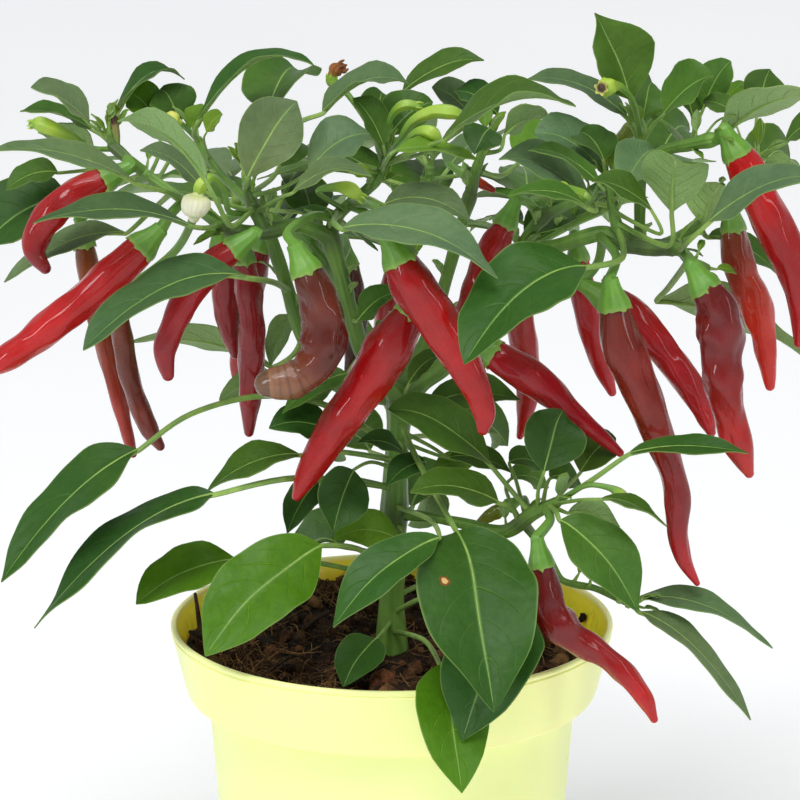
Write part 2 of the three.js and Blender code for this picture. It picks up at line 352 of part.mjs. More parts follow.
// ---- Leaves of the unseen back, placed by rule: [node, stem, count, length mm, first turn] ----
const BACK_LEAVES = [
  ["spray_back_left", "back_left", 10, 44, 100],
  ["spray_back_middle", "back_middle", 10, 44, 84],
  ["spray_back_right", "back_right", 10, 44, 40],
];
const BACK_TURN = 137.5;

// How far a leaf may be bent towards or away from the viewer to stand clear of its neighbours.
const BENDS = [0, -3, 3, -6, 6, -9, 9, -12, 12, -15, 15, -19, 19, -23, 23, -28, 28];

// ---- Solids ----
// A closed solid from points and triangles, its skin turned outwards.
function solidOf(points, faces) {
  const build = (triangles) => new wasm.Manifold(new wasm.Mesh({
    numProp: 3,
    vertProperties: new Float32Array(points.flatMap((p) => [p.x, p.y, p.z])),
    triVerts: new Uint32Array(triangles.flat()),
  }));
  const solid = build(faces);
  return solid.volume() > 0 ? solid : build(faces.map(([a, b, c]) => [a, c, b]));
}

function curve(points, steps) {
  const path = [];
  const last = points.length - 1;
  for (let i = 0; i < last; i++) {
    const a = points[Math.max(i - 1, 0)];
    const b = points[i];
    const c = points[i + 1];
    const d = points[Math.min(i + 2, last)];
    for (let k = 0; k < steps; k++) {
      const t = k / steps;
      const point = new THREE.Vector3()
        .addScaledVector(a, 0.5 * (-t + 2 * t * t - t * t * t))
        .addScaledVector(b, 0.5 * (2 - 5 * t * t + 3 * t * t * t))
        .addScaledVector(c, 0.5 * (t + 4 * t * t - 3 * t * t * t))
        .addScaledVector(d, 0.5 * (-t * t + t * t * t));
      path.push(point);
    }
  }
  path.push(points[last].clone());
  return path;
}

// A closed skin over rings of equally many points, with a flat cap at both ends.
function skin(rings) {
  const sides = rings[0].length;
  const faces = [];
  for (let i = 0; i + 1 < rings.length; i++) {
    for (let k = 0; k < sides; k++) {
      const a = i * sides + k;
      const b = i * sides + ((k + 1) % sides);
      faces.push([a, b, b + sides], [a, b + sides, a + sides]);
    }
  }
  const end = (rings.length - 1) * sides;
  for (let k = 1; k + 1 < sides; k++) {
    faces.push([0, k + 1, k], [end, end + k, end + k + 1]);
  }
  return solidOf(rings.flat(), faces);
}

function ring(centre, ahead, across, radius, sides) {
  const third = new THREE.Vector3().crossVectors(ahead, across);
  return Array.from({ length: sides }, (_, k) => {
    const turn = (2 * Math.PI * k) / sides;
    return centre.clone().addScaledVector(across, Math.cos(turn) * radius)
      .addScaledVector(third, Math.sin(turn) * radius);
  });
}

function anyAcross(ahead) {
  const other = Math.abs(ahead.y) < 0.8 ? new THREE.Vector3(0, 1, 0) : UP;
  return new THREE.Vector3().crossVectors(ahead, other).normalize();
}

function directionAt(path, i) {
  return path[Math.min(i + 1, path.length - 1)].clone().sub(path[Math.max(i - 1, 0)]).normalize();
}

function tube(path, radii, sides, grow = 0) {
  const across = anyAcross(directionAt(path, 0));
  return skin(path.map((centre, i) => {
    const ahead = directionAt(path, i);
    across.addScaledVector(ahead, -across.dot(ahead)).normalize();
    return ring(centre, ahead, across, radii[i] + grow, sides);
  }));
}

function breadth(t) {
  return 2.868 * Math.pow(t, 0.62) * Math.pow(1 - t, 0.95);
}

// A leaf with its stalk as one skin: the stalk's three-cornered rings widen into the blade's flat ones.
// Both faces of the waved blade are triangulated alike.
function leafSolid(stalk, base, tip, wide, lay, bow, facing, phase, grow = 0) {
  const middle = base.clone().add(tip).multiplyScalar(0.5).addScaledVector(SCREEN_UP, bow);
  const control = middle.clone().multiplyScalar(2).addScaledVector(base, -0.5).addScaledVector(tip, -0.5);
  const long = base.distanceTo(tip);
  const rows = long > LONG_LEAF ? [0.14, 0.4, 0.66, 0.86] : long > SMALL_LEAF ? [0.18, 0.46, 0.76] : [0.24, 0.62];
  const place = (t) => base.clone().multiplyScalar((1 - t) * (1 - t))
    .addScaledVector(control, 2 * t * (1 - t)).addScaledVector(tip, t * t);
  const frame = (t) => {
    const ahead = control.clone().sub(base).multiplyScalar(1 - t)
      .addScaledVector(tip.clone().sub(control), t).normalize();
    const face = facing.clone().addScaledVector(ahead, -facing.dot(ahead)).normalize();
    const side = new THREE.Vector3().crossVectors(ahead, face);
    return { ahead, face, side };
  };
  const centre = frame(0.5).side;
  const lean = Math.sign(Math.abs(centre.z) > 0.35 ? centre.z : centre.x);
  const turned = (t) => {
    const { ahead, face, side } = frame(t);
    const roll = (lay + 14 * Math.sin(phase) * (t - 0.5)) * DEG * lean;
    const normal = face.clone().multiplyScalar(Math.cos(roll)).addScaledVector(side, Math.sin(roll));
    const out = side.clone().multiplyScalar(Math.cos(roll)).addScaledVector(face, -Math.sin(roll));
    return { ahead, normal, out };
  };
  const points = [];
  const faces = [];
  const corners = (point, out, normal, thick) => {
    for (const [x, y] of [[1, 0.7], [-1, 0.7], [0, -1.2]]) {
      points.push(point.clone().addScaledVector(out, x * (thick + grow))
        .addScaledVector(normal, y * (thick + grow) - 0.5 * BLADE_THICKNESS));
    }
  };
  // the stalk, ring by ring from the blade back to the stem
  const start = turned(0);
  const spots = [...stalk, base];
  const rings = [];
  const out = start.out.clone();
  for (let i = spots.length - 1; i >= 0; i--) {
    const ahead = i === spots.length - 1 ? start.ahead.clone()
      : spots[i + 1].clone().sub(spots[Math.max(i - 1, 0)]).normalize();
    out.addScaledVector(ahead, -out.dot(ahead)).normalize();
    rings.unshift([spots[i], out.clone(), new THREE.Vector3().crossVectors(out, ahead)]);
  }
  const stout = long < SMALL_LEAF ? 0.65 : 1;
  rings.forEach(([point, across, normal], i) => {
    corners(point, across, normal, stout * (STALK_RADIUS - (0.25 * i) / spots.length));
  });
  for (let i = 0; i + 1 < rings.length; i++) {
    for (let k = 0; k < 3; k++) {
      const a = 3 * i + k;
      const b = 3 * i + ((k + 1) % 3);
      faces.push([a, b, b + 3], [a, b + 3, a + 3]);
    }
  }
  faces.push([0, 2, 1]);
  const neck = 3 * (rings.length - 1);
  const [a, b, c] = [neck, neck + 1, neck + 2];
  const first = neck + 3;
  for (const t of rows) {
    const { normal, out: side } = turned(t);
    const half = 0.5 * wide * breadth(t);
    const wave = BLADE_WAVE * wide;
    const lift = [1, -1].map((hand) => BLADE_FOLD * half + wave * Math.sin(9.4 * t + phase + 1.05 * (1 - hand)));
    const row = [
      place(t).addScaledVector(side, half + grow).addScaledVector(normal, lift[0] + grow),
      place(t).addScaledVector(normal, grow),
      place(t).addScaledVector(side, -half - grow).addScaledVector(normal, lift[1] + grow),
    ];
    const low = row.map((p) => p.clone().addScaledVector(normal, -BLADE_THICKNESS - 2 * grow));
    points.push(...row, low[2], low[1], low[0]);
  }
  faces.push([a, first + 1, first], [a, b, first + 1], [b, first + 2, first + 1]);
  faces.push([b, first + 3, first + 2], [b, c, first + 3]);
  faces.push([c, first + 4, first + 3], [c, first + 5, first + 4]);
  faces.push([c, first, first + 5], [c, a, first]);
  for (let i = 0; i + 1 < rows.length; i++) {
    for (let k = 0; k < 6; k++) {
      const p = first + 6 * i + k;
      const q = first + 6 * i + ((k + 1) % 6);
      if (k === 4 || k === 0) {
        faces.push([p, q, p + 6], [q, q + 6, p + 6]);
      } else {
        faces.push([p, q, q + 6], [p, q + 6, p + 6]);
      }
    }
  }
  const e = first + 6 * (rows.length - 1);
  const end = turned(1);
  const tipTop = points.length;
  const tipLow = tipTop + 1;
  points.push(place(1).addScaledVector(end.ahead, grow).addScaledVector(end.normal, grow));
  points.push(points[tipTop].clone().addScaledVector(end.normal, -BLADE_THICKNESS - 2 * grow));
  faces.push([e, e + 1, tipTop], [e + 1, e + 2, tipTop], [e + 3, e + 4, tipLow], [e + 4, e + 5, tipLow]);
  faces.push([e + 2, e + 3, tipLow], [e + 2, tipLow, tipTop], [e + 5, e, tipTop], [e + 5, tipTop, tipLow]);
  return solidOf(points, faces);
}

const lines = {};
const elements = [];

function add(node, kind, solid) {
  const box = solid.boundingBox();
  elements.push({ node, kind, solid, box });
}

for (const [name, node, radii, points] of STEMS) {
  const path = points.map((p) => seen(...p));
  if (name === "trunk") {
    path[0].set(path[1].x, 0, STEM_FOOT_Z);
  }
  lines[name] = { node, path: curve(path, 8), points: path };
  const sides = name === "trunk" ? 8 : node === "main_stem" ? 5 : 4;
  add(node, "stem", tube(path, radii, sides));
  lines[name].grown = tube(path, radii, sides, GAP);
}

// The point of the node's stems that looks nearest to a place in the photo.
function onStem(node, px, py) {
  let best = null;
  let least = Infinity;
  for (const { node: owner, path } of Object.values(lines)) {
    if (owner !== node) {
      continue;
    }
    for (const point of path) {
      const depth = VIEW_DISTANCE + point.y * LOOK_ALONG - (point.z - AIM_Z) * LOOK_DOWN;
      const up = (point.z - AIM_Z) * LOOK_ALONG + point.y * LOOK_DOWN;
      const dx = CENTRE_PX + (FOCAL_PX * (point.x - AIM_X)) / depth - px;
      const dy = CENTRE_PX - (FOCAL_PX * up) / depth - py;
      if (dx * dx + dy * dy < least) {
        least = dx * dx + dy * dy;
        best = point;
      }
    }
  }
  return best.clone();
}

// ---- Pot and soil ----
function lathe(profile, segments) {
  const geometry = new THREE.LatheGeometry(profile.map(([r, z]) => new THREE.Vector2(r, z)), segments);
  geometry.rotateX(Math.PI / 2);
  const place = geometry.getAttribute("position");
  const keys = new Map();
  const points = [];
  const indexOf = (i) => {
    const p = new THREE.Vector3().fromBufferAttribute(place, i);
    const key = [p.x, p.y, p.z].map((v) => Math.round(v * 1000)).join();
    if (!keys.has(key)) {
      keys.set(key, points.length);
      points.push(p);
    }
    return keys.get(key);
  };
  const faces = [];
  const index = geometry.getIndex();
  for (let i = 0; i < index.count; i += 3) {
    const face = [indexOf(index.getX(i)), indexOf(index.getX(i + 1)), indexOf(index.getX(i + 2))];
    if (new Set(face).size === 3) {
      faces.push(face);
    }
  }
  return solidOf(points, faces);
}

const collarLow = POT_HEIGHT - COLLAR_HEIGHT;
const potProfile = [
  [0, 0],
  [BASE_RADIUS - 0.4, 0],
  [BODY_TOP_RADIUS, collarLow],
  [COLLAR_LOW_RADIUS, collarLow],
  [RIM_RADIUS, POT_HEIGHT - LIP],
  [RIM_RADIUS - LIP, POT_HEIGHT],
  [RIM_RADIUS - POT_WALL, POT_HEIGHT - 0.4],
  [COLLAR_LOW_RADIUS - POT_WALL, collarLow + 2.6],
  [BODY_TOP_RADIUS - POT_WALL, collarLow + 1.2],
  [BASE_RADIUS - POT_WALL, POT_FLOOR],
  [0, POT_FLOOR],
];
add("pot", "pot", lathe(potProfile, POT_SEGMENTS));

// Mounded, crumbly soil: rings of points over the pot's inside, a closed skin below.
function innerRadius(z) {
  if (z > collarLow + 2.6) {
    const part = (z - collarLow - 2.6) / (COLLAR_HEIGHT - 3);
    return COLLAR_LOW_RADIUS - POT_WALL + part * (RIM_RADIUS - COLLAR_LOW_RADIUS);
  }
  return BODY_TOP_RADIUS - POT_WALL;
}
const soilRings = [
  [0, SOIL_BOTTOM_Z],
  [BASE_RADIUS - POT_WALL - 0.6, SOIL_BOTTOM_Z],
  [BODY_TOP_RADIUS - POT_WALL - 0.6, collarLow + 1.6],
  [COLLAR_LOW_RADIUS - POT_WALL - 0.6, collarLow + 3.1],
  [innerRadius(SOIL_EDGE_Z) - 0.7, SOIL_EDGE_Z],
  [49, SOIL_EDGE_Z + 0.8],
  [36, SOIL_EDGE_Z + 1.6],
  [22, SOIL_MIDDLE_Z - 0.8],
  [10, SOIL_MIDDLE_Z],
  [0, SOIL_MIDDLE_Z + 0.2],
];
function bumpySoil() {
  const segments = SOIL_SEGMENTS;
  const points = [];
  const faces = [];
  soilRings.forEach(([radius, z], ring) => {
    const turns = radius === 0 ? 1 : segments;
    for (let k = 0; k < turns; k++) {
      const angle = (2 * Math.PI * k) / segments;
      const bump = ring > 4 ? 1.1 * Math.sin(7.3 * k + 2.9 * ring) + 0.7 * Math.cos(3.1 * k * ring) : 0;
      const r = radius;
      points.push(new THREE.Vector3(r * Math.cos(angle), r * Math.sin(angle), z + (turns > 1 ? bump : 0)));
    }
  });
  const first = (ring) => (ring === 0 ? 0 : 1 + (ring - 1) * segments);
  for (let ring = 0; ring + 1 < soilRings.length; ring++) {
    for (let k = 0; k < segments; k++) {
      const n = (k + 1) % segments;
      const a = first(ring);
      const b = first(ring + 1);
      if (ring === 0) {
        faces.push([a, b + n, b + k]);
      } else if (ring + 2 === soilRings.length) {
        faces.push([a + k, a + n, b]);
      } else {
        faces.push([a + k, a + n, b + n], [a + k, b + n, b + k]);
      }
    }
  }
  return solidOf(points, faces);
}
function twig(from, to, radius) {
  return tube([from, from.clone().lerp(to, 0.5).add(new THREE.Vector3(0, 0, 0.8)), to], [radius, radius, radius], 4);
}
let soil = bumpySoil();
const TWIGS = [
  [[222, 622, -8], [190, 632, -12], 0.9],
  [[201, 628, 2], [195, 594, 6], 0.8],
  [[376, 572, 44], [352, 566, 44], 1.1],
  [[300, 600, 10], [330, 612, -4], 0.9],
  [[452, 640, -30], [500, 632, -22], 0.9],
  [[470, 585, 36], [500, 592, 30], 1],
  [[262, 640, -24], [292, 656, -34], 0.8],
];
for (const [from, to, radius] of TWIGS) {
  const a = seen(...from);
  const b = seen(...to);
  a.z = Math.min(a.z, SOIL_EDGE_Z + 0.8);
  soil = soil.add(twig(a, b, radius));
}
const hole = tube([new THREE.Vector3(0, 0, 0), new THREE.Vector3(0, 0, 60)], [4.9, 4.9], 12);
const foot = lines.trunk.points[0];
soil = soil.subtract(hole.translate([foot.x, foot.y, STEM_FOOT_Z - GAP]));
const bodies = soil.decompose();
bodies.sort((a, b) => b.volume() - a.volume());
add("soil", "soil", bodies[0]);

// ---- Peppers in their cups ----
for (const [name, node, spots, awayTop, awayTip, root, via] of PEPPERS) {
  const last = spots.length - 1;
  const middle = spots.map(([px, py], i) => seen(px, py, awayTop + ((awayTip - awayTop) * i) / last));
  const radii = spots.map(([, , r]) => r / PX_PER_MM);
  const back = middle[0].clone().sub(middle[1]).normalize();
  const behind = (mm) => middle[0].clone().addScaledVector(back, mm);
  const small = radii[0] < 2.4;
  const cup = small ? 0.6 * CUP_LENGTH : CUP_LENGTH;
  const inCup = small ? 0.5 * PEPPER_IN_CUP : PEPPER_IN_CUP;
  const path = [behind(inCup), ...middle];
  const sides = small ? 6 : PEPPER_SIDES;
  const body = tube(path, [0.72 * radii[0], ...radii], sides);
  const rim = radii[0] + (radii[1] - radii[0]) * 0.12;
  const stalk = [onStem(node, ...root), ...via.map((p) => seen(...p)), behind(cup)];
  const clear = GAP + 0.1;
  const ahead = back.clone().negate();
  const across = anyAcross(ahead);
  const rings = [
    [0.3 * cup, 0.9 * radii[0] + CUP_WALL],
    [-0.25 * cup, rim + CUP_WALL],
    [-0.25 * cup, rim + clear],
    [0, radii[0] + clear],
    [inCup + GAP, 0.72 * radii[0] + clear],
  ].map(([mm, radius]) => ring(behind(mm), ahead, across, radius, sides));
  const turning = across.clone();
  for (let i = stalk.length - 1; i >= 0; i--) {
    const along = directionAt(stalk, i);
    turning.addScaledVector(along, -turning.dot(along)).normalize();
    rings.unshift(ring(stalk[i], along, turning, small ? 0.8 : 1.1 + 0.2 * i, sides));
  }
  add(name, "pepper", body);
  add(node, name + " cup", skin(rings));
}

for (const [name, node, root, points] of BUDS) {
  const path = [onStem(node, ...root), ...points.map(([px, py, away]) => seen(px, py, away))];
  const radii = [0.8, ...points.map((p) => p[3])];
  add(node, name, tube(path, radii, 5));
}
for (const [name, points] of FLOWERS) {
  add(name, "flower", tube(points.map(([px, py, away]) => seen(px, py, away)), points.map((p) => p[3]), 7));
}

// ---- Leaves, each bent as little as it takes to stand clear of the other pieces ----
function boxesMeet(a, b) {
  return [0, 1, 2].every((i) => a.min[i] <= b.max[i] + 0.1 && b.min[i] <= a.max[i] + 0.1);
}

// How much a leaf cuts into other pieces, and a little for blades and cups of its own piece.
function clash(node, solid, bare) {
  const box = solid.boundingBox();
  let worst = 0;
  for (const other of elements) {
    if (other.node !== node && boxesMeet(box, other.box)) {
      worst += solid.intersect(other.solid).volume();
    } else if (other.node === node && (other.bare || other.kind.endsWith("cup")) && boxesMeet(box, other.box)) {
      worst += OWN_SHARE * bare.intersect(other.bare ?? other.solid).volume();
    }
  }
  return worst;
}

// Tries the bends in turn and adds the first leaf that stands clear.
function placeLeaf(node, name, make) {
  let best = null;
  for (const bend of BENDS) {
    const leaf = make(bend);
    const hit = clash(node, leaf(CLEARANCE), leaf(0.5 * CLEARANCE, true));
    if (!best || hit < best.hit) {
      best = { hit, leaf };
    }
    if (hit < 1e-7) {
      break;
    }
  }
  if (best.hit > OWN_SHARE * 100) {
    failed.push(`${node} ${name} ${best.hit.toFixed(2)}`);
    return;
  }
  add(node, name, best.leaf(0));
  elements[elements.length - 1].bare = best.leaf(0, true);
}

const failed = [];
LEAVES.forEach(([name, node, root, via, base, tip, wide, lay, bow], number) => {
  const phase = 1.7 * number;
  placeLeaf(node, name, (bend) => {
    const stalk = [onStem(node, ...root)];
    via.forEach(([px, py, away], i) => stalk.push(seen(px, py, away + (bend * (i + 1)) / (via.length + 1))));
    const from = seen(base[0], base[1], base[2] + bend);
    const to = seen(tip[0], tip[1], tip[2] + bend);
    const facing = VIEWER.clone().sub(from.clone().lerp(to, 0.5)).normalize();
    return (grow, bare) => leafSolid(bare ? [] : stalk, from, to, wide, lay, bow, facing, phase, grow);
  });
});

BACK_LEAVES.forEach(([node, stem, count, long, first], spray) => {
  const { path } = lines[stem];
  for (let i = 0; i < count; i++) {
    const at = path[Math.round((path.length - 1) * (0.16 + (0.84 * i) / (count - 1)))];
    const turn = (first + BACK_TURN * i) * DEG;
    const away = Math.abs(Math.sin(turn)) * 0.9 + 0.1;
    const out = new THREE.Vector3(Math.cos(turn), away, 0).normalize();
    const length = long * (0.78 + 0.22 * Math.sin(2.3 * i + spray));
    const rise = 0.45 - 0.16 * ((i * 2) % 5);
    const reach = out.clone().setZ(rise).normalize();
    const phase = 2.1 * i + spray;
    placeLeaf(node, `${stem}_leaf_${i}`, (bend) => {
      const base = at.clone().addScaledVector(reach, 12).add(new THREE.Vector3(0, 0.5 * bend, 3));
      const tip = base.clone().addScaledVector(reach, length).add(new THREE.Vector3(0, 0.5 * bend, -6));
      return (grow, bare) => leafSolid(bare ? [] : [at.clone()], base, tip, 0.46 * length,
        6 * Math.sin(phase), 3, UP, phase, grow);
    });
  }
});

// ---- One closed body for each node ----
const COLOURS = {
  pot: 0xeef0a8,
  soil: 0x3a2a1e,
  pepper: 0xc4161c,
  green: 0x3f7a35,
  white_flower_bud: 0xf2f5d8,
  yellow_flower_bud: 0xd8dc4a,
  dried_flower: 0xb0764a,
};

/** The least height of any triangle of a mesh, in mm. */
function thinnest({ vertProperties, triVerts }) {
  const corner = (i) => new THREE.Vector3().fromArray(vertProperties, 3 * triVerts[i]);
  let least = Infinity;
  for (let i = 0; i < triVerts.length; i += 3) {
    const a = corner(i);
    const ab = corner(i + 1).sub(a);
    const ac = corner(i + 2).sub(a);
    const longest = Math.max(ab.length(), ac.length(), ab.distanceTo(ac));
    least = Math.min(least, ab.cross(ac).length() / longest);
  }
  return least;
}

/** A solid's mesh with its slivers merged away: the smoothing that leaves the thickest triangles. */
function tidied(solid) {
  let best = null;
  for (const share of [1, 1.2, 1.5, 0.7, 0.5]) {
    for (const start of [solid, solid.simplify(SMOOTHING * share)]) {
      const mesh = start.asOriginal().simplify(SMOOTHING * share).getMesh();
      const least = thinnest(mesh);
      if (!best || least > 1.5 * best.least) {
        best = { mesh, least };
      }
    }
  }
  return best.mesh;
}

const parents = [];
for (const { node, grown } of Object.values(lines)) {
  if (node === "main_stem") {
    parents.push(grown);
  }
}
const mainGrown = wasm.Manifold.union(parents);
const PARENT_OF = { spray_far_right_top: "top_right" };

const group = new THREE.Group();
group.name = "potted_chilli_plant";
for (const node of new Set(elements.map((e) => e.node))) {
  const own = elements.filter((e) => e.node === node);
  let solid = own.length > 1 ? wasm.Manifold.union(own.map((e) => e.solid)) : own[0].solid;
  if (own.some((e) => e.kind === "stem") && node !== "main_stem") {
    solid = solid.subtract(mainGrown);
    if (PARENT_OF[node]) {
      solid = solid.subtract(lines[PARENT_OF[node]].grown);
    }
    const parts = solid.decompose();
    parts.sort((a, b) => b.volume() - a.volume());
    solid = parts[0];
  }
  const { vertProperties, triVerts } = tidied(solid);
  const geometry = new THREE.BufferGeometry();
  geometry.setAttribute("position", new THREE.BufferAttribute(new Float32Array(vertProperties), 3));
  geometry.setIndex(new THREE.BufferAttribute(new Uint32Array(triVerts), 1));
  geometry.computeVertexNormals();
  const kind = own[0].kind === "pepper" ? "pepper" : node;
  const color = COLOURS[kind] ?? COLOURS.green;
  const mesh = new THREE.Mesh(geometry, new THREE.MeshStandardMaterial({ color, roughness: 0.6 }));
  mesh.name = node;
  group.add(mesh);
}

export { elements, failed };
export default group;
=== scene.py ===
# Potted chilli pepper plant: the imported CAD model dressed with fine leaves, peppers, soil and pot.
# Lengths are in millimetres while pieces are made and in metres in the meshes.
import math

import bpy
import numpy as np
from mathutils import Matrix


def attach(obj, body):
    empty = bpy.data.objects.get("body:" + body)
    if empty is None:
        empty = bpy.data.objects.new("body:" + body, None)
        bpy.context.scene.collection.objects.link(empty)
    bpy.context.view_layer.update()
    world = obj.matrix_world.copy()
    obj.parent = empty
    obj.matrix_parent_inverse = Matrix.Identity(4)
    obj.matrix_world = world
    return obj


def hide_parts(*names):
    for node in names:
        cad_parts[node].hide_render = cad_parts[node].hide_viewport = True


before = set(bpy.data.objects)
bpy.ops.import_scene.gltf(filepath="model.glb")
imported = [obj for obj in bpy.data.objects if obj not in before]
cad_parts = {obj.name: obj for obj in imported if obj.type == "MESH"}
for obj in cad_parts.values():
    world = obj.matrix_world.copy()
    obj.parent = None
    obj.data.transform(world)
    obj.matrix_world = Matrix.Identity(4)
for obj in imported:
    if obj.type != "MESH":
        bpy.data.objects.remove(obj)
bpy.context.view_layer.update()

MM = 0.001
DEG = math.pi / 180
FULL_TURN = 2 * math.pi
UP = np.array([0.0, 0, 1])

# Pot and soil, as in the part's source
POT_HEIGHT = 119
RIM_RADIUS = 65
COLLAR_HEIGHT = 21
COLLAR_LOW_RADIUS = 60.3
COLLAR_LOW_Z = POT_HEIGHT - COLLAR_HEIGHT
BODY_TOP_RADIUS = 54.7
BASE_RADIUS = 47.4
POT_WALL = 1.8
POT_FLOOR = 2.6
SOIL_EDGE_Z = 107.5
SOIL_MIDDLE_Z = 108.8
STEM_FOOT_Z = 84

# Plant, as in the part's source
BLADE_FOLD = 0.2
BLADE_WAVE = 0.055
CUP_LENGTH = 7
PEPPER_IN_CUP = 3
PX_PER_MM = 3.45
BACK_TURN = 137.5
BENDS = [0, -3, 3, -6, 6, -9, 9, -12, 12, -15, 15, -19, 19, -23, 23, -28, 28]

# Only in the scene
BLADE_THICKNESS = 0.34
VEIN_PAIRS = 6.2
VEIN_SLANT = 0.3
CUP_MARGIN = 0.6
CAP_STEPS = np.array([0.36, 0.66, 0.9])
SHARP_ANGLE = 48 * DEG
SMALL_PEPPER = 2.4
PEPPER_RINGS = 24
CUP_SIDES = 40
STAR_SIDES = 48
POT_SIDES = 360
SOIL_SIDES = 220
CRUMB_COUNT = 1500
LOOSE_FIBRES = 420
FIBRE_COUNT = 900
COLLAR_INSIDE = 57.2
COLLAR_LEAN = 0.26
STEP_NEAR = 50
STEM_GAP = 6.5
LEAF_SEED = 1000
YOUNG_SEED = 700
PEPPER_SEED = 300
BUD_SEED = 500
SOIL_SEED = 7

# The view: places are named as seen in the photo, in px, with a distance away from the viewer in mm
AIM_X = 2.4
AIM_Z = 185
PITCH = 14 * DEG
VIEW_DISTANCE = 850
FOCAL_PX = 2940
FRAME_PX = 800
CENTRE_PX = FRAME_PX / 2
LOOK_DOWN = math.sin(PITCH)
LOOK_ALONG = math.cos(PITCH)
VIEWER = np.array([AIM_X, -VIEW_DISTANCE * LOOK_ALONG, AIM_Z + VIEW_DISTANCE * LOOK_DOWN])
SCREEN_UP = np.array([0, LOOK_DOWN, LOOK_ALONG])

# In the tables, semicolons part the groups of a row, commas part points or colours, and an indented line goes on
# with the row above it.

# Stems: name, node; radii in mm; points as px, py, away.
STEMS = """
trunk main_stem; 4.3 4.2 3.8 3.6 3.5 3.5; 392 735 0, 392 652 0, 392 600 0, 394 540 0, 396 470 0, 401 398 0
branch_a main_stem; 3.2 2.8 2.6 2.4 2.3 2.3 2.5; 401 398 0, 381 374 -3, 363 353 -5, 350 310 -8, 345 290 -9,
    336 258 -10, 330 238 -10
branch_a2 main_stem; 2.3 2.1 1.9 1.8; 330 238 -10, 300 225 -14, 265 232 -18, 230 231 -20
branch_b main_stem; 2.6 2.2 2.1 2 2 1.9 1.9; 401 398 0, 365 394 5, 330 380 8, 303 338 6, 288 290 2, 275 250 -1,
    266 222 -2
branch_c main_stem; 3.2 2.8 2.6 2.5 2.4 2.6; 401 398 0, 422 382 1, 446 364 2, 480 320 3, 505 290 2, 518 256 0
branch_c2 main_stem; 2.4 2.1 2.1 2.3 2 2.1; 518 256 0, 560 245 -8, 603 233 -14, 628 243 -16, 650 247 -17, 672 247 -18
branch_c4 main_stem; 1.8 1.7 1.9; 518 253 0, 533 229 -2, 546 214 -3
branch_d main_stem; 2.6 2.3 2.1 1.9 1.8 1.7; 401 398 0, 416 365 8, 430 330 12, 446 280 10, 460 230 8, 470 196 6
branch_back_left main_stem; 2.8 2.4 2.2 2; 401 398 0, 388 372 14, 362 325 32, 330 270 46
branch_back_middle main_stem; 2.6 2.3 2.1 1.9; 401 398 0, 404 360 18, 407 310 36, 410 262 48
branch_back_right main_stem; 2.8 2.4 2.2 2; 401 398 0, 420 372 14, 448 330 32, 480 285 46
far_left spray_far_left; 1.7 1.6 1.5 1.4 1.4; 230 231 -20, 205 214 -20, 172 192 -16, 142 171 -12, 113 146 -8
cut_stub spray_far_left; 1.3 1.2 1.1; 116 149 -8, 112 141 -8, 109 131 -8
left spray_left; 1.7 1.6 1.4 1.3; 265 232 -18, 256 212 -17, 248 192 -14, 246 172 -10
left_back spray_left; 1.3 1.2 1.1 1; 254 206 -17, 236 190 -6, 214 166 2, 197 138 6
middle_left spray_middle_left; 1.9 1.8 1.7 1.6 1.5; 330 238 -10, 337 216 -8, 357 198 -6, 376 180 -4, 386 158 -2
middle spray_middle; 1.6 1.5 1.4 1.3; 470 196 6, 474 176 5, 480 158 4, 486 140 4
middle_right spray_middle_right; 1.8 1.7 1.5 1.4; 546 214 -3, 566 204 -5, 586 195 -6, 604 182 -6
right spray_right; 1.7 1.6 1.5 1.4; 628 243 -16, 618 228 -18, 613 206 -18, 610 186 -16
top_right spray_top_right; 1.7 1.6 1.5 1.5 1.4; 640 246 -17, 640 215 -9, 641 182 -6, 642 152 -5, 640 134 -4
far_right_top spray_far_right_top; 1.5 1.6 1.9 2.2; 641 166 -6, 664 151 -13, 692 144 -20, 712 140 -24
far_right spray_far_right; 1.6 1.5 1.4 1.3; 660 247 -17, 700 224 -4, 730 190 4, 757 157 6
far_right_low spray_far_right_low; 1.7 1.6 1.6 1.4; 672 247 -18, 682 252 -24, 692 262 -26, 706 268 -20
low_shoot low_shoot; 1.6 1.5 1.6 1.9 1.9 1.7; 397 514 0, 430 517 -8, 472 525 -18, 507 531 -28, 532 514 -36,
    556 503 -40
low_twig low_shoot; 1.2 1.1 1 1 1; 522 521 -33, 546 552 -26, 562 580 -28, 594 588 -34, 632 605 -40
back_left spray_back_left; 1.8 1.7 1.5 1.3; 330 270 46, 303 238 54, 268 216 56, 236 200 52
back_middle spray_back_middle; 1.7 1.6 1.5 1.3; 410 262 48, 416 228 56, 426 196 62, 430 168 62
back_right spray_back_right; 1.8 1.7 1.5 1.3; 480 285 46, 520 252 56, 566 226 58, 612 206 54
"""

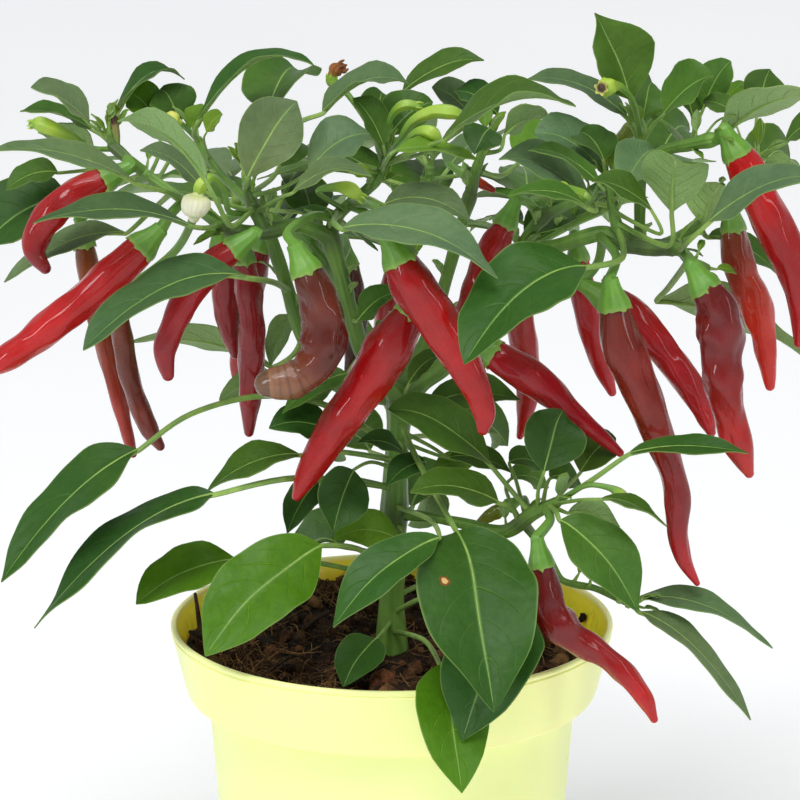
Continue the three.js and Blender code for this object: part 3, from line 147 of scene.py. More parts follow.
# Peppers: name, node of the cup; px, py, radius in px down the middle; away at both ends; where the stalk
# leaves the stem; points of the stalk; colours from top to tip.
PEPPERS = """
pepper_01 spray_far_left; 108 178 13, 85 190 15, 58 207 15, 39 231 14, 35 252 11, 45 268 6; -20 -26; 142 171;
    128 160 -16; 150 24 34, 186 30 40, 176 28 40, 142 20 34
pepper_02 spray_far_left; 143 246 16, 118 270 18, 88 296 17, 57 321 16, 28 344 14, 2 361 12, -26 377 5; -30 -38;
    184 200; 172 213 -26; 170 22 26, 196 24 28, 206 34 36, 200 34 40
pepper_03 spray_far_left; 84 242 11, 92 290 12, 105 345 10, 117 392 9, 127 433 7, 133 454 4; 12 12; 150 176;
    112 200 6; 120 88 34, 136 78 30, 152 70 28, 176 66 32, 186 60 34
pepper_04 spray_far_left; 119 306 9, 122 335 10, 128 370 10, 139 405 10, 150 430 9, 160 446 5; -8 -8; 196 207;
    176 250 -6, 132 284 -6; 110 76 34, 124 64 32, 128 56 32, 130 50 34
pepper_05 main_stem; 236 248 13, 215 264 14, 193 289 14, 176 320 13, 165 350 11, 168 375 6; -32 -36; 247 232;
    246 236 -27; 150 16 30, 176 20 38, 170 22 42, 164 24 44
pepper_06 spray_left; 222 246 13, 225 268 15, 227 300 14, 230 328 12, 235 354 5; -2 2; 254 206; 238 214 -8; 140 16 26,
    172 20 34, 166 20 36, 150 18 34
pepper_07 main_stem; 243 258 12, 248 290 13, 252 330 13, 251 370 12, 250 405 10, 249 432 5; -14 -12; 244 232;
    243 238 -17; 128 14 26, 150 16 30, 156 18 34, 166 22 40
pepper_08 spray_middle_left; 305 268 16, 318 297 19, 324 325 20, 322 352 20, 308 372 19, 290 381 18, 268 384 13;
    -42 -46; 337 218; 312 216 -22, 288 232 -36; 96 62 26, 98 50 32, 112 54 40, 96 38 24, 118 60 44, 152 122 106,
    164 140 124
pepper_09 main_stem; 347 262 11, 352 290 12, 356 325 11, 352 352 8, 348 370 4; 6 8; 339 266; 346 248 0; 98 64 34,
    84 44 30, 80 36 30, 96 48 40
pepper_10 spray_middle_left; 412 312 17, 392 342 22, 372 375 22, 350 408 20, 328 440 17, 308 474 12, 297 496 5;
    -32 -36; 350 204; 384 224 -16, 412 262 -26; 166 18 28, 176 18 28, 188 20 30, 190 24 34, 192 30 42
pepper_11 spray_middle_left; 399 258 18, 415 288 21, 438 320 20, 460 355 18, 476 388 14, 484 412 11, 483 429 6;
    -48 -52; 352 202; 376 208 -32; 150 14 20, 168 14 20, 190 20 26, 200 26 32, 196 30 38
pepper_12 main_stem; 506 222 12, 492 252 15, 478 285 14, 467 315 12, 458 340 6; -14 -18; 540 220; 530 204 -8;
    196 28 34, 172 22 30, 156 20 30, 150 20 34
pepper_13 main_stem; 490 352 15, 515 368 18, 545 388 15, 572 413 11, 598 434 8, 620 453 4; -26 -32; 480 320;
    485 334 -16; 160 20 38, 184 28 50, 196 36 60, 206 44 68
pepper_14 main_stem; 614 304 16, 620 340 19, 633 372 19, 647 405 17, 660 440 15, 673 475 12, 678 505 11, 678 535 10,
    684 560 8, 697 583 3; -44 -46; 598 234; 616 256 -30; 116 66 28, 126 52 32, 138 48 32, 140 54 34, 150 44 40,
    160 40 48, 188 34 50, 210 26 50
pepper_15 main_stem; 602 296 13, 625 310 16, 650 336 16, 672 362 15, 692 390 13, 705 416 10, 711 432 5; -14 -22;
    603 233; 598 262 -10; 158 20 34, 188 30 50, 198 40 60, 206 56 72
pepper_16 spray_far_right_low; 704 286 16, 717 308 19, 721 332 20, 723 362 20, 725 392 18, 731 422 16, 741 452 12,
    749 473 5; -42 -46; 684 253; 688 258 -32; 128 52 44, 112 36 34, 124 36 36, 150 42 40, 190 52 44, 206 64 56
pepper_17 spray_far_right; 733 226 12, 736 250 15, 743 275 17, 754 300 17, 763 330 12, 767 360 10, 770 386 5; -10 -12;
    716 206; 726 204 -4; 116 78 44, 150 74 46, 196 80 48, 226 78 46, 230 72 52
pepper_18 spray_far_right_top; 736 152 15, 748 174 18, 761 201 19, 774 228 19, 788 256 17, 797 285 14, 801 315 11,
    799 343 5; -30 -34; 704 142; 719 139 -26; 196 22 24, 204 24 28, 190 18 26, 170 14 26, 196 22 34
pepper_19 low_shoot; 541 562 12, 546 592 15, 554 617 16, 573 638 15, 600 653 12, 626 675 11, 645 700 8, 654 719 4;
    -54 -60; 545 508; 550 520 -48; 112 46 44, 116 32 36, 140 34 40, 196 44 50, 224 58 60
pepper_green_top spray_far_right_top; 640 122 7, 630 130 8, 620 142 8, 611 155 6, 606 165 3; 12 12; 684 146;
    672 130 2, 656 118 10; 110 158 52, 122 170 60, 140 184 74
pepper_green_low low_shoot; 510 505 6, 498 511 7, 486 518 6, 475 527 3; -14 -12; 530 515; 526 500 -26; 118 168 52,
    134 182 62, 158 196 84
pepper_orange_small spray_middle; 462 172 4, 472 178 5, 482 184 5, 493 190 3; 16 16; 472 184; 458 172 12; 222 132 46,
    214 104 42, 192 70 40
pepper_20 spray_back_left; 316 262 12, 315 300 15, 312 340 14, 307 380 12, 300 410 8, 298 426 4; 58 62; 310 246;
    318 238 58; 176 22 32, 186 24 34, 196 30 40
pepper_21 spray_back_left; 262 246 12, 252 285 14, 246 325 14, 240 362 11, 240 392 5; 64 66; 268 216; 266 224 64;
    132 50 36, 160 34 34, 190 36 40
pepper_22 spray_back_middle; 398 258 13, 392 296 16, 388 335 16, 386 372 13, 392 405 9, 400 424 4; 66 70; 416 228;
    402 230 62; 170 20 30, 188 24 34, 198 32 40
pepper_23 spray_back_right; 512 282 13, 520 320 16, 526 355 15, 528 390 12, 524 420 8, 520 436 4; 66 68; 522 251;
    512 252 62; 150 60 36, 176 46 34, 200 44 40
pepper_24 spray_back_right; 578 256 12, 584 292 14, 592 330 14, 602 365 11, 612 392 5; 68 66; 568 225; 574 226 66;
    166 20 34, 184 26 44, 200 36 56
"""

# Buds and small green parts: name, node; where it leaves the stem; px, py, away, radius in mm.
BUDS = """
bud_far_left spray_far_left; 116 149; 92 148 -8 0.7, 72 137 -10 1.2, 54 129 -12 1.9, 40 124 -12 2.1, 32 124 -12 1
bud_a spray_middle_left; 386 158; 387 132 -8 0.6, 393 114 -10 1, 404 105 -12 1.5, 418 106 -12 1.2
bud_b spray_middle_left; 385 160; 398 143 -14 0.8, 412 122 -18 1.3, 432 112 -20 1.9, 450 112 -22 2, 465 116 -22 1
bud_c spray_middle_left; 383 166; 404 143 -20 0.8, 418 132 -24 1.3, 432 133 -26 2, 440 144 -26 1
bud_d spray_middle_left; 344 209; 318 192 -24 0.7, 336 187 -28 1.3, 350 190 -30 2.2, 361 198 -30 1.2
bud_e spray_middle_left; 381 172; 370 172 -8 1, 360 170 -10 2.1, 353 168 -10 1.2
bud_f spray_middle_right; 600 186; 592 199 -38 0.7, 582 194 -40 1.5, 564 187 -42 1
open_cup spray_top_right; 641 142; 634 104 -12 0.7, 622 88 -16 1, 614 86 -18 1.6, 607 87 -22 2.7
bud_low low_shoot; 556 504; 572 492 -46 0.6, 590 485 -50 0.7, 610 488 -52 0.9, 620 494 -52 1.6, 628 499 -52 1
bud_left_pedicel spray_left; 256 212; 230 212 -26 0.8, 224 190 -30 0.9, 212 178 -34 1.2, 202 184 -36 1.8,
    199 191 -36 1.6
bud_yellow_pedicel spray_left; 200 144; 190 132 4 0.7, 181.5 123.6 1 0.8
dried_pedicel spray_middle_left; 386 158; 366 120 6 0.8, 346 92 10 0.9, 333 82 10 1.6, 332 78 10 1.5
"""

# Leaves under the name of their node: name; where the stalk leaves the stem; points of the stalk; base and tip;
# width in mm, lay in degrees and bow in mm.
LEAVES = """
main_stem
l01; 396 452; 330 407 -16, 263 396 -24, 191 414 -34; 138 449 -40, 1 582 -52; 22 48 5
l02; 395 484; 298 478 -34; 215 493 -46, 34 628 -60; 20 52 7
l03; 396 462; 340 452 -30; 300 454 -40, 207 491 -46; 14 56 3
l04; 393 582; 300 560 -16; 237 559 -28, 136 604 -38; 17 40 3
l05; 393 570; 358 549 -18; 322 545 -34, 205 656 -60; 24 22 4
l06; 395 508; 430 520 -18; 440 537 -32, 333 627 -52; 15 35 4
l07; 395 526; 404 532 -8; 400 540 -12, 333 540 -16; 12 30 3
l08; 400 418; 413 451 -12, 436 495 -26; 457 531 -40, 494 712 -80; 33 16 8
l09; 392 612; 450 590 -30; 528 604 -58, 462 741 -76; 26 24 5
l10; 392 628; 424 640 -36; 440 664 -60, 462 793 -82; 21 20 5
l11; 392 620; 386 628 -10; 377 638 -18, 343 687 -38; 13 15 2
l21; 397 440; 360 428 -12; 330 430 -20, 269 428 -26; 13 40 2
l22; 365 356; 357 362 -10; 347 373 -16, 282 413 -22; 10 45 2
l22b; 363 353; 352 366 -4; 344 378 -8, 297 417 -10; 9 50 2
l23; 396 470; 372 462 -10; 354 470 -18, 333 532 -30; 16 20 2
l24; 395 490; 350 478 -8; 318 482 -12, 287 533 -20; 11 30 2
l25; 397 448; 416 456 -8; 426 462 -16, 386 487 -26; 9 35 2
l26; 398 436; 404 446 -10; 404 453 -16, 358 443 -22; 8 50 2
l27a; 398 434; 430 446 -6; 449 457 -10, 511 472 -14; 9 45 2
l27b; 397 444; 440 456 2; 475 464 4, 432 474 0; 8 40 2
l28; 352 318; 355 321 -12; 357 321 -15, 398 293 -20; 10 45 2
l29; 404 395; 406 390 -6; 408 384 -10, 441 356 -16; 8 45 2
l30; 400 412; 412 409 -8; 425 407 -14, 520 400 -20; 14 45 3
l31; 399 420; 424 402 -4; 442 399 -6, 470 419 -8; 8 45 2
l32; 392 600; 420 585 14; 452 580 28, 520 608 50; 20 50 5
l33; 393 560; 370 552 14; 340 545 30, 290 570 62; 20 40 5
l34; 394 530; 402 516 18; 412 506 36, 432 520 78; 22 20 6
l35; 396 470; 386 458 20; 370 450 38, 330 455 76; 20 30 6
l36; 397 440; 420 436 18; 450 436 34, 508 446 62; 20 40 6
u55; 288 292; 272 282 -24; 247 276 -40, 83 350 -58; 21 56 7
u56; 303 338; 292 356 -2; 272 366 -6, 129 342 -10; 15 112 4
u57; 310 356; 296 368 12; 278 380 14, 219 400 12; 13 125 2
u58; 292 300; 292 306 12; 290 314 16, 270 367 18; 9 140 2
spray_far_left
u01; 114 147; 104 134 -8; 90 123 -12, 31 87 -18; 14 58 2
u02; 118 151; 102 136 -2; 92 129 0, 20 111 -4; 12 66 2
u03; 124 156; 106 158 2; 97 155 4, 38 132 6; 16 116 2
u04; 188 203; 166 192 -30; 138 183 -36, -8 150 -48; 17 60 5
u05; 132 163; 88 170 2; 58 172 -4, 6 190 -8; 11 52 2
u06; 146 174; 100 190 2; 68 198 2, -22 252 -6; 24 42 4
u07; 220 225; 208 228 -34; 191 225 -42, 33 223 -56; 17 56 6
u08; 172 193; 150 212 -6; 126 232 -12, 4 282 -16; 14 58 4
u09; 113 146; 110 132 2; 113 118 6, 185 79 16; 17 58 7
u10; 150 176; 160 150 2; 158 122 10, 123 91 12; 13 38 2
u11; 156 180; 174 150 10; 180 122 18, 160 89 22; 15 35 2
spray_left
u12; 254 208; 232 226 -32, 218 204 -44; 207 180 -46, 117 121 -50; 20 124 5
u13; 256 212; 232 206 -26; 202 188 -28, 140 150 -32; 12 58 3
u14; 198 142; 194 134 2; 196 122 -2, 314 65 -10; 20 60 9
u15; 246 174; 256 140 -2; 268 110 2, 294 67 36; 27 2 3
u16; 247 184; 245 188 -20; 247 178 -28, 297 101 -22; 18 14 2
u17; 204 152; 196 138 10; 192 128 12, 203 104 14; 8 50 1
u17b; 210 160; 204 140 -6; 206 132 -8, 222 114 -10; 7 50 1
u18; 246 176; 271 143 -14, 300 122 -12; 322 112 -10, 409 84 -4; 18 62 5
u20; 250 198; 286 186 -20; 309 170 -26, 370 134 -20; 17 48 3
u21; 256 212; 280 198 -28; 292 192 -34, 372 176 -42; 14 64 4
u59; 249 194; 270 180 6; 280 166 14, 292 130 40; 16 20 3
spray_middle_left
u19; 386 158; 392 120 12; 402 92 16, 484 60 12; 15 42 3
u22; 385 162; 386 158 -12; 384 146 -16, 353 98 -12; 12 50 2
u23; 386 160; 388 146 2; 389 136 4, 433 102 10; 15 30 2
u23b; 384 164; 376 144 10; 376 128 14, 382 92 22; 12 20 2
u24; 384 164; 430 150 16; 474 120 20, 432 87 20; 13 40 2
u26; 384 166; 416 150 -24; 442 139 -32, 576 106 -44; 21 62 6
u28; 382 170; 388 158 -28; 394 150 -30, 478 160 -30; 9 66 2
u29; 360 196; 372 200 -18; 384 204 -26, 471 222 -36; 15 52 4
u30; 338 214; 334 222 -32; 342 228 -42, 498 278 -62; 24 56 8
spray_middle
u25; 485 143; 496 128 8; 498 114 10, 453 91 14; 13 55 2
u27; 483 150; 488 134 0; 490 128 -2, 474 154 -8; 12 20 1
u60; 482 152; 500 150 2; 504 134 6, 549 117 12; 12 120 2
u61; 476 170; 500 176 18; 520 160 30, 560 130 50; 16 40 3
spray_middle_right
u32; 590 192; 596 200 -20; 590 202 -28, 499 159 -38; 20 58 4
u33; 584 196; 596 210 -34; 590 208 -42, 507 196 -50; 12 62 3
u34; 603 183; 604 176 -8; 602 168 -10, 534 133 -6; 18 48 3
u34b; 598 187; 604 190 -18; 600 184 -22, 528 150 -24; 9 64 3
u62; 566 204; 572 190 14; 582 176 26, 606 148 56; 18 28 3
spray_right
u31; 618 228; 622 258 -38; 586 266 -50, 464 364 -72; 28 46 7
u48; 616 222; 668 246 -34; 672 212 -38, 676 158 -56; 21 176 3
u49; 612 200; 620 196 -22; 624 187 -24, 654 149 -8; 14 18 2
u50; 614 212; 660 234 -40; 652 209 -46, 592 181 -52; 12 60 2
u63; 611 194; 606 176 -2; 604 160 6, 580 132 20; 13 40 2
spray_top_right
u35; 641 146; 634 130 0; 628 117 0, 527 79 -6; 16 60 4
u36; 641 140; 636 116 -10; 631 100 -14, 595 13 -16; 23 20 2
u37; 642 150; 646 132 4; 643 118 8, 652 82 20; 14 20 2
u38; 641 144; 654 124 -10; 664 113 -14, 714 75 -18; 17 44 2
u64; 641 182; 652 170 12; 660 156 24, 690 130 52; 18 24 4
spray_far_right_top
u39; 692 144; 696 126 -6; 703 108 -4, 731 61 -2; 13 35 2
u40; 690 144; 694 130 -12; 693 116 -12, 676 84 -4; 15 35 2
u41; 700 143; 716 122 -18; 734 113 -20, 703 101 -14; 9 50 1
spray_far_right
u42; 756 158; 756 130 10; 758 107 12, 770 69 14; 13 18 1
u43; 750 166; 738 130 16; 724 102 20, 746 83 22; 6 45 1
u44; 752 164; 742 146 -24; 724 134 -44, 818 98 -62; 17 118 4
u45; 757 158; 775 148 0; 786 142 -2, 822 124 -8; 11 60 2
u46; 756 158; 764 158 4; 768 158 4, 786 178 4; 8 150 1
u51; 712 212; 704 226 -8; 702 224 -10, 722 184 -12; 15 145 2
u52; 704 221; 702 230 -2; 708 236 -2, 780 276 0; 11 58 3
u65; 730 190; 746 180 20; 760 170 34, 790 160 62; 18 30 4
spray_far_right_low
u47; 680 251; 688 242 -40; 708 222 -48, 818 176 -66; 20 56 5
u53; 690 260; 668 288 -6; 656 300 0, 810 360 -8; 23 116 4
low_shoot
l12; 550 506; 556 512 -48; 560 520 -52, 638 612 -64; 18 30 4
l13a; 622 601; 628 600 -40; 636 598 -42, 773 648 -52; 14 60 5
l13b; 628 604; 634 606 -44; 640 611 -46, 751 720 -60; 15 58 5
l14; 532 514; 516 496 -30; 492 465 -26, 388 409 -26; 16 40 4
l15; 520 523; 512 508 -34; 499 502 -38, 410 492 -44; 15 52 3
l16; 540 510; 538 492 -38; 544 472 -38, 563 410 -30; 18 14 2
l17; 552 505; 566 488 -38; 580 472 -36, 616 438 -28; 14 30 2
l18; 556 504; 592 480 -48; 628 453 -52, 748 453 -60; 16 56 4
l19; 555 504; 580 500 -54; 601 498 -58, 667 526 -62; 11 68 2
l20; 548 507; 560 510 -42; 568 512 -42, 620 527 -44; 9 128 2
l27c; 526 518; 516 480 -20; 509 462 -12, 545 470 -6; 9 40 2
l27d; 520 523; 506 490 -16; 511 478 -10, 549 488 0; 9 40 2
l27e; 544 509; 546 488 -30; 550 478 -26, 582 488 -20; 9 40 2
"""

# Leaves of the unseen back, placed by rule: node, stem, count, length in mm, first turn in degrees
BACK_LEAVES = [
    ("spray_back_left", "back_left", 10, 44, 100),
    ("spray_back_middle", "back_middle", 10, 44, 84),
    ("spray_back_right", "back_right", 10, 44, 40),
]

# A little more turn in degrees, fold and edge wave for some leaves
LEAF_SETS = {
    "u14": (15, 1.5, 1), "u09": (15, 1.3, 1.6), "u18": (9, 1.4, 1), "u26": (12, 1.5, 1.2), "u30": (0, 1, 0.8),
    "u15": (40, 0.8, 0.6), "u12": (-12, 1, 1), "u55": (5, 1, 1), "l02": (9, 1, 1.7), "l01": (3, 1, 1.2),
    "u36": (12, 2.3, 1.2), "u38": (8, 1.5, 1), "u19": (6, 1.6, 1), "u04": (6, 1, 1), "u01": (6, 1.6, 1),
    "u02": (4, 1.6, 1.3), "u23": (0, 1.8, 1), "u37": (0, 1.8, 1), "u40": (0, 1.8, 1), "u22": (0, 1.8, 1),
    "l16": (0, 1.6, 1), "u49": (0, 1.8, 1), "l05": (-4, 0.8, 0.8), "l09": (-6, 0.8, 1), "l10": (-4, 1.2, 1),
    "u07": (6, 1, 1), "u62": (0, 1.6, 1),
}
# How much slimmer some leaves are than in the part's source
LEAF_SLIM = {
    "u14": 0.58, "u09": 0.62, "u07": 0.76, "u04": 0.76, "u08": 0.82, "u02": 0.82, "u12": 0.82, "u19": 0.66,
    "u26": 0.9, "u36": 0.9, "u47": 0.74, "u48": 0.86, "u32": 0.84, "u33": 0.72, "u35": 0.68, "u29": 0.86,
    "u21": 0.72, "l18": 0.58, "l01": 0.9, "l02": 0.84, "l13a": 0.8, "l13b": 0.74, "l19": 0.75, "u30": 0.8,
    "u18": 0.9, "u13": 0.8, "u03": 0.85, "u15": 0.86,
}
LEAF_BOW = {"u30": -2, "l18": -2, "u07": -2, "u04": -1.5, "u47": -1.5}
FULL_LEAVES = "l04 l05 l06 l08 l09 l10 l11 l12 l14 l23 u15 u16 u20 u34 u48 u49 u55 u31 u12".split()
SPOTS = {"l08": (449, 578)}
PEPPER_LUMPS = {"pepper_07": 1.4, "pepper_08": 1.5, "pepper_09": 1.3, "pepper_14": 1.7, "pepper_15": 1.5,
                "pepper_16": 2.2, "pepper_17": 1.6, "pepper_19": 1.9, "pepper_03": 1.3}
BROWN_PEPPERS = ("pepper_08", "pepper_09", "pepper_14", "pepper_16", "pepper_17")

# Colours, as 0 to 255 of the screen
LEAF_MIDDLE = (62, 98, 30)
LEAF_DARK = (44, 82, 26)
# leaf green with painted sheen: greyed and blued for the sky's reflection on the upper leaves
LEAF_GREEN_PAINTED_SHEEN = (86, 112, 74)
LEAF_YOUNG = (92, 130, 36)
LEAF_LOOKS = {
    (74, 118, 12): "l04 l05 u43 l10 u10",
    LEAF_YOUNG: "u17 u17b l07 u28 u46 u51 l27b l27d u61",
    # darker leaf green with painted sheen: greyed and blued for the sky's reflection
    (64, 92, 54): "u55 u07",
    LEAF_DARK: "l01 l02 l08 l09 u06 u14 u25 u27 u31 l18 l06 l24 l25 l26 l16 l23 l21 l11 u09",
    LEAF_GREEN_PAINTED_SHEEN: "u04 u13 u16 u20 u24 u30 u32 u34 u47 u49 u18 u21 u29 u12 u01 u08 u44 u35 l13a l13b",
}
LOOK_OF = {name: colour for colour, names in LEAF_LOOKS.items() for name in names.split()}
STEM_GREEN = (92, 132, 52)
STEM_DARK = (44, 48, 34)
STEM_DRY = (132, 112, 70)
RIB_PALE = (146, 182, 92)
CALYX_GREEN = (98, 148, 52)
# darker green for the painted shade in the grooves of the cups
CALYX_GROOVE_SHADE = (66, 112, 34)
CALYX_EDGE = (150, 170, 84)
BUD_GREEN = (150, 184, 60)
PETAL_DRY = (142, 88, 50)
WOOD = (70, 52, 36)
SOIL_DARK = (66, 48, 34)
CRUMB_COLOURS = [(58, 40, 28), (78, 52, 34), (44, 30, 22), (112, 76, 46), (92, 60, 38), (36, 26, 20), (134, 98, 62),
                 (70, 44, 28)]
FIBRE_COLOURS = [(140, 104, 64), (112, 80, 50), (164, 128, 84), (80, 56, 38), (150, 112, 70)]

# Petals: points as px, py, away, radius in mm; colours; material; count and depth of the grooves
FLOWERS = {
    "white_flower_bud": ([(198, 195, -36, 2.6), (197, 200, -36, 3.8), (195, 208, -36, 4), (194, 217, -36, 2.4)],
                         [(222, 228, 160), (240, 240, 206), (246, 246, 222), (244, 242, 206)], "petal", 5, 0.045),
    "yellow_flower_bud": ([(179, 122, 0, 1.6), (175, 121, 0, 2.4), (168, 119, 0, 2.5), (164, 117, 0, 1.4)],
                          [(180, 204, 84), (206, 216, 100), (216, 218, 112), (190, 206, 84)], "petal", 5, 0.08),
    "dried_flower": ([(333, 73.5, 10, 1.5), (336, 70, 10, 2.2), (342, 67, 10, 1.2)],
                     [(176, 128, 62), (150, 92, 48), (128, 74, 44)], "dry_petal", 7, 0.22),
}
# The open cup without its fruit: how far out, radius and point in mm, colour
OPEN_CUP = [(-1.2, 1.5, 0, CALYX_GREEN), (0.6, 2.1, 0.1, CALYX_GREEN), (1.5, 2.6, 0.6, BUD_GREEN),
            (1.65, 2.55, 0.6, (196, 196, 110)), (1.45, 1.95, 0.1, (150, 150, 70)), (1.35, 1.6, 0, (84, 60, 34)),
            (1.5, 0.9, 0, (48, 34, 22)), (1.7, 0.05, 0, (70, 50, 28))]
# Larger crumbs of soil that the photo shows: px, py, radius in mm, colour
CRUMBS = [(383, 681, 3.4, (132, 82, 52)), (374, 686, 2.4, (116, 72, 48)), (214, 664, 2.2, (150, 116, 74)),
          (300, 640, 2.6, (92, 66, 44)), (250, 632, 3.0, (64, 46, 32)), (352, 668, 2.2, (84, 58, 38)),
          (410, 676, 2.4, (104, 70, 44)), (560, 652, 2.4, (120, 86, 54)), (268, 662, 2.4, (86, 60, 40)),
          (232, 650, 2.0, (110, 80, 50)), (330, 676, 2.2, (120, 84, 54)), (352, 580, 3.2, (120, 84, 50))]
STUCK_CRUMBS = (582, 618)
STUCK_COLOUR = (50, 38, 24)
# Tufts of fibre: x, y and width in mm
TUFTS = [(-38, -26, 15), (-46, -14, 9), (-24, -40, 11), (-22, 46, 12), (34, -36, 10)]
# Twigs on the soil: from, to, radius in mm
TWIGS = [((222, 622, -8), (190, 632, -12), 0.9), ((201, 628, 2), (195, 594, 6), 0.8),
         ((376, 572, 44), (352, 566, 44), 1.1), ((300, 600, 10), (330, 612, -4), 0.9),
         ((452, 640, -30), (500, 632, -22), 0.9), ((470, 585, 36), (500, 592, 30), 1),
         ((262, 640, -24), (292, 656, -34), 0.8)]


def rows_of(table):
    """The rows of a table: words before the first semicolon, then each group as a list of points."""
    for row in table.replace("\n    ", " ").strip().splitlines():
        words, *groups = row.split(";")
        yield words.split(), [[[float(v) for v in point.split()] for point in group.split(",")] for group in groups]


def light_of(colour):
    part = np.asarray(colour, float) / 255
    return np.where(part <= 0.04045, part / 12.92, ((part + 0.055) / 1.055) ** 2.4)


def blend(one, two, share):
    """From one colour to another, by a share for each point."""
    share = np.reshape(share, (-1, 1))
    return one * (1 - share) + two * share


def seen(px, py, away):
    """The place that the photo shows at a pixel, so far away from the viewer."""
    rise = (CENTRE_PX - py) / FOCAL_PX
    reach = rise * (VIEW_DISTANCE + away * LOOK_ALONG) - away * LOOK_DOWN
    dz = reach / (LOOK_ALONG + rise * LOOK_DOWN)
    depth = VIEW_DISTANCE + away * LOOK_ALONG - dz * LOOK_DOWN
    return np.array([AIM_X + (px - CENTRE_PX) / FOCAL_PX * depth, away, AIM_Z + dz])


def nearest_seen(points, px, py):
    """The one of some points that looks nearest to a place in the photo."""
    depth = VIEW_DISTANCE + points[:, 1] * LOOK_ALONG - (points[:, 2] - AIM_Z) * LOOK_DOWN
    up = (points[:, 2] - AIM_Z) * LOOK_ALONG + points[:, 1] * LOOK_DOWN
    off = np.stack([CENTRE_PX + FOCAL_PX * (points[:, 0] - AIM_X) / depth, CENTRE_PX - FOCAL_PX * up / depth], 1)
    off = off - np.array([px, py])
    return points[np.argmin((off ** 2).sum(1))].copy()


def unit(v):
    return v / np.maximum(np.linalg.norm(v, axis=-1, keepdims=True), 1e-9)


def curve(points, steps):
    """A smooth line through points, with the same rule as in the part's source."""
    points = np.asarray(points, float)
    last = len(points) - 1
    path = []
    for i in range(last):
        a, b, c, d = points[max(i - 1, 0)], points[i], points[i + 1], points[min(i + 2, last)]
        for k in range(steps):
            t = k / steps
            path.append(0.5 * ((-t + 2 * t * t - t ** 3) * a + (2 - 5 * t * t + 3 * t ** 3) * b
                               + (t + 4 * t * t - 3 * t ** 3) * c + (t ** 3 - t * t) * d))
    return np.array([*path, points[last]])


def smooth(values, steps):
    """Numbers along a curve, by the same rule."""
    return curve(np.stack([values] * 3, 1), steps)[:, 0]


def arched(start, end, bow, steps):
    return curve([start, (start + end) / 2 + bow, end], steps)


def length_of(path):
    return np.linalg.norm(np.diff(path, axis=0), axis=1).sum()


def spread(values, count):
    """Numbers or colours at even places, stretched to count of them."""
    values = np.asarray(values, float)
    place = np.linspace(0, len(values) - 1, count)
    return np.stack([np.interp(place, np.arange(len(values)), v) for v in np.atleast_2d(values.T)], 1)


def direction(path):
    ahead = np.empty_like(path)
    ahead[1:-1] = path[2:] - path[:-2]
    ahead[0] = path[1] - path[0]
    ahead[-1] = path[-1] - path[-2]
    return unit(ahead)


def any_across(ahead):
    return unit(np.cross(ahead, UP if abs(ahead[1]) >= 0.8 else (0, 1, 0)))


def carried(path):
    """Directions along a path, and across it with as little turning as they can."""
    ahead = direction(path)
    across = np.empty_like(path)
    now = any_across(ahead[0])
    for i, a in enumerate(ahead):
        now = now - a * (now @ a)
        now = now / max(np.linalg.norm(now), 1e-9)
        across[i] = now
    return ahead, across


def spoke(ahead, across, turn):
    return across * math.cos(turn) + np.cross(ahead, across) * math.sin(turn)


def circle(count):
    return np.arange(count) * FULL_TURN / count


def ring(centre, across, third, turns, wide):
    return centre + across * (np.cos(turns) * wide)[:, None] + third * (np.sin(turns) * wide)[:, None]


def ridged(count, depth, phase):
    return lambda turns, share: 1 + depth * np.cos(count * turns + phase + 1.2 * share)


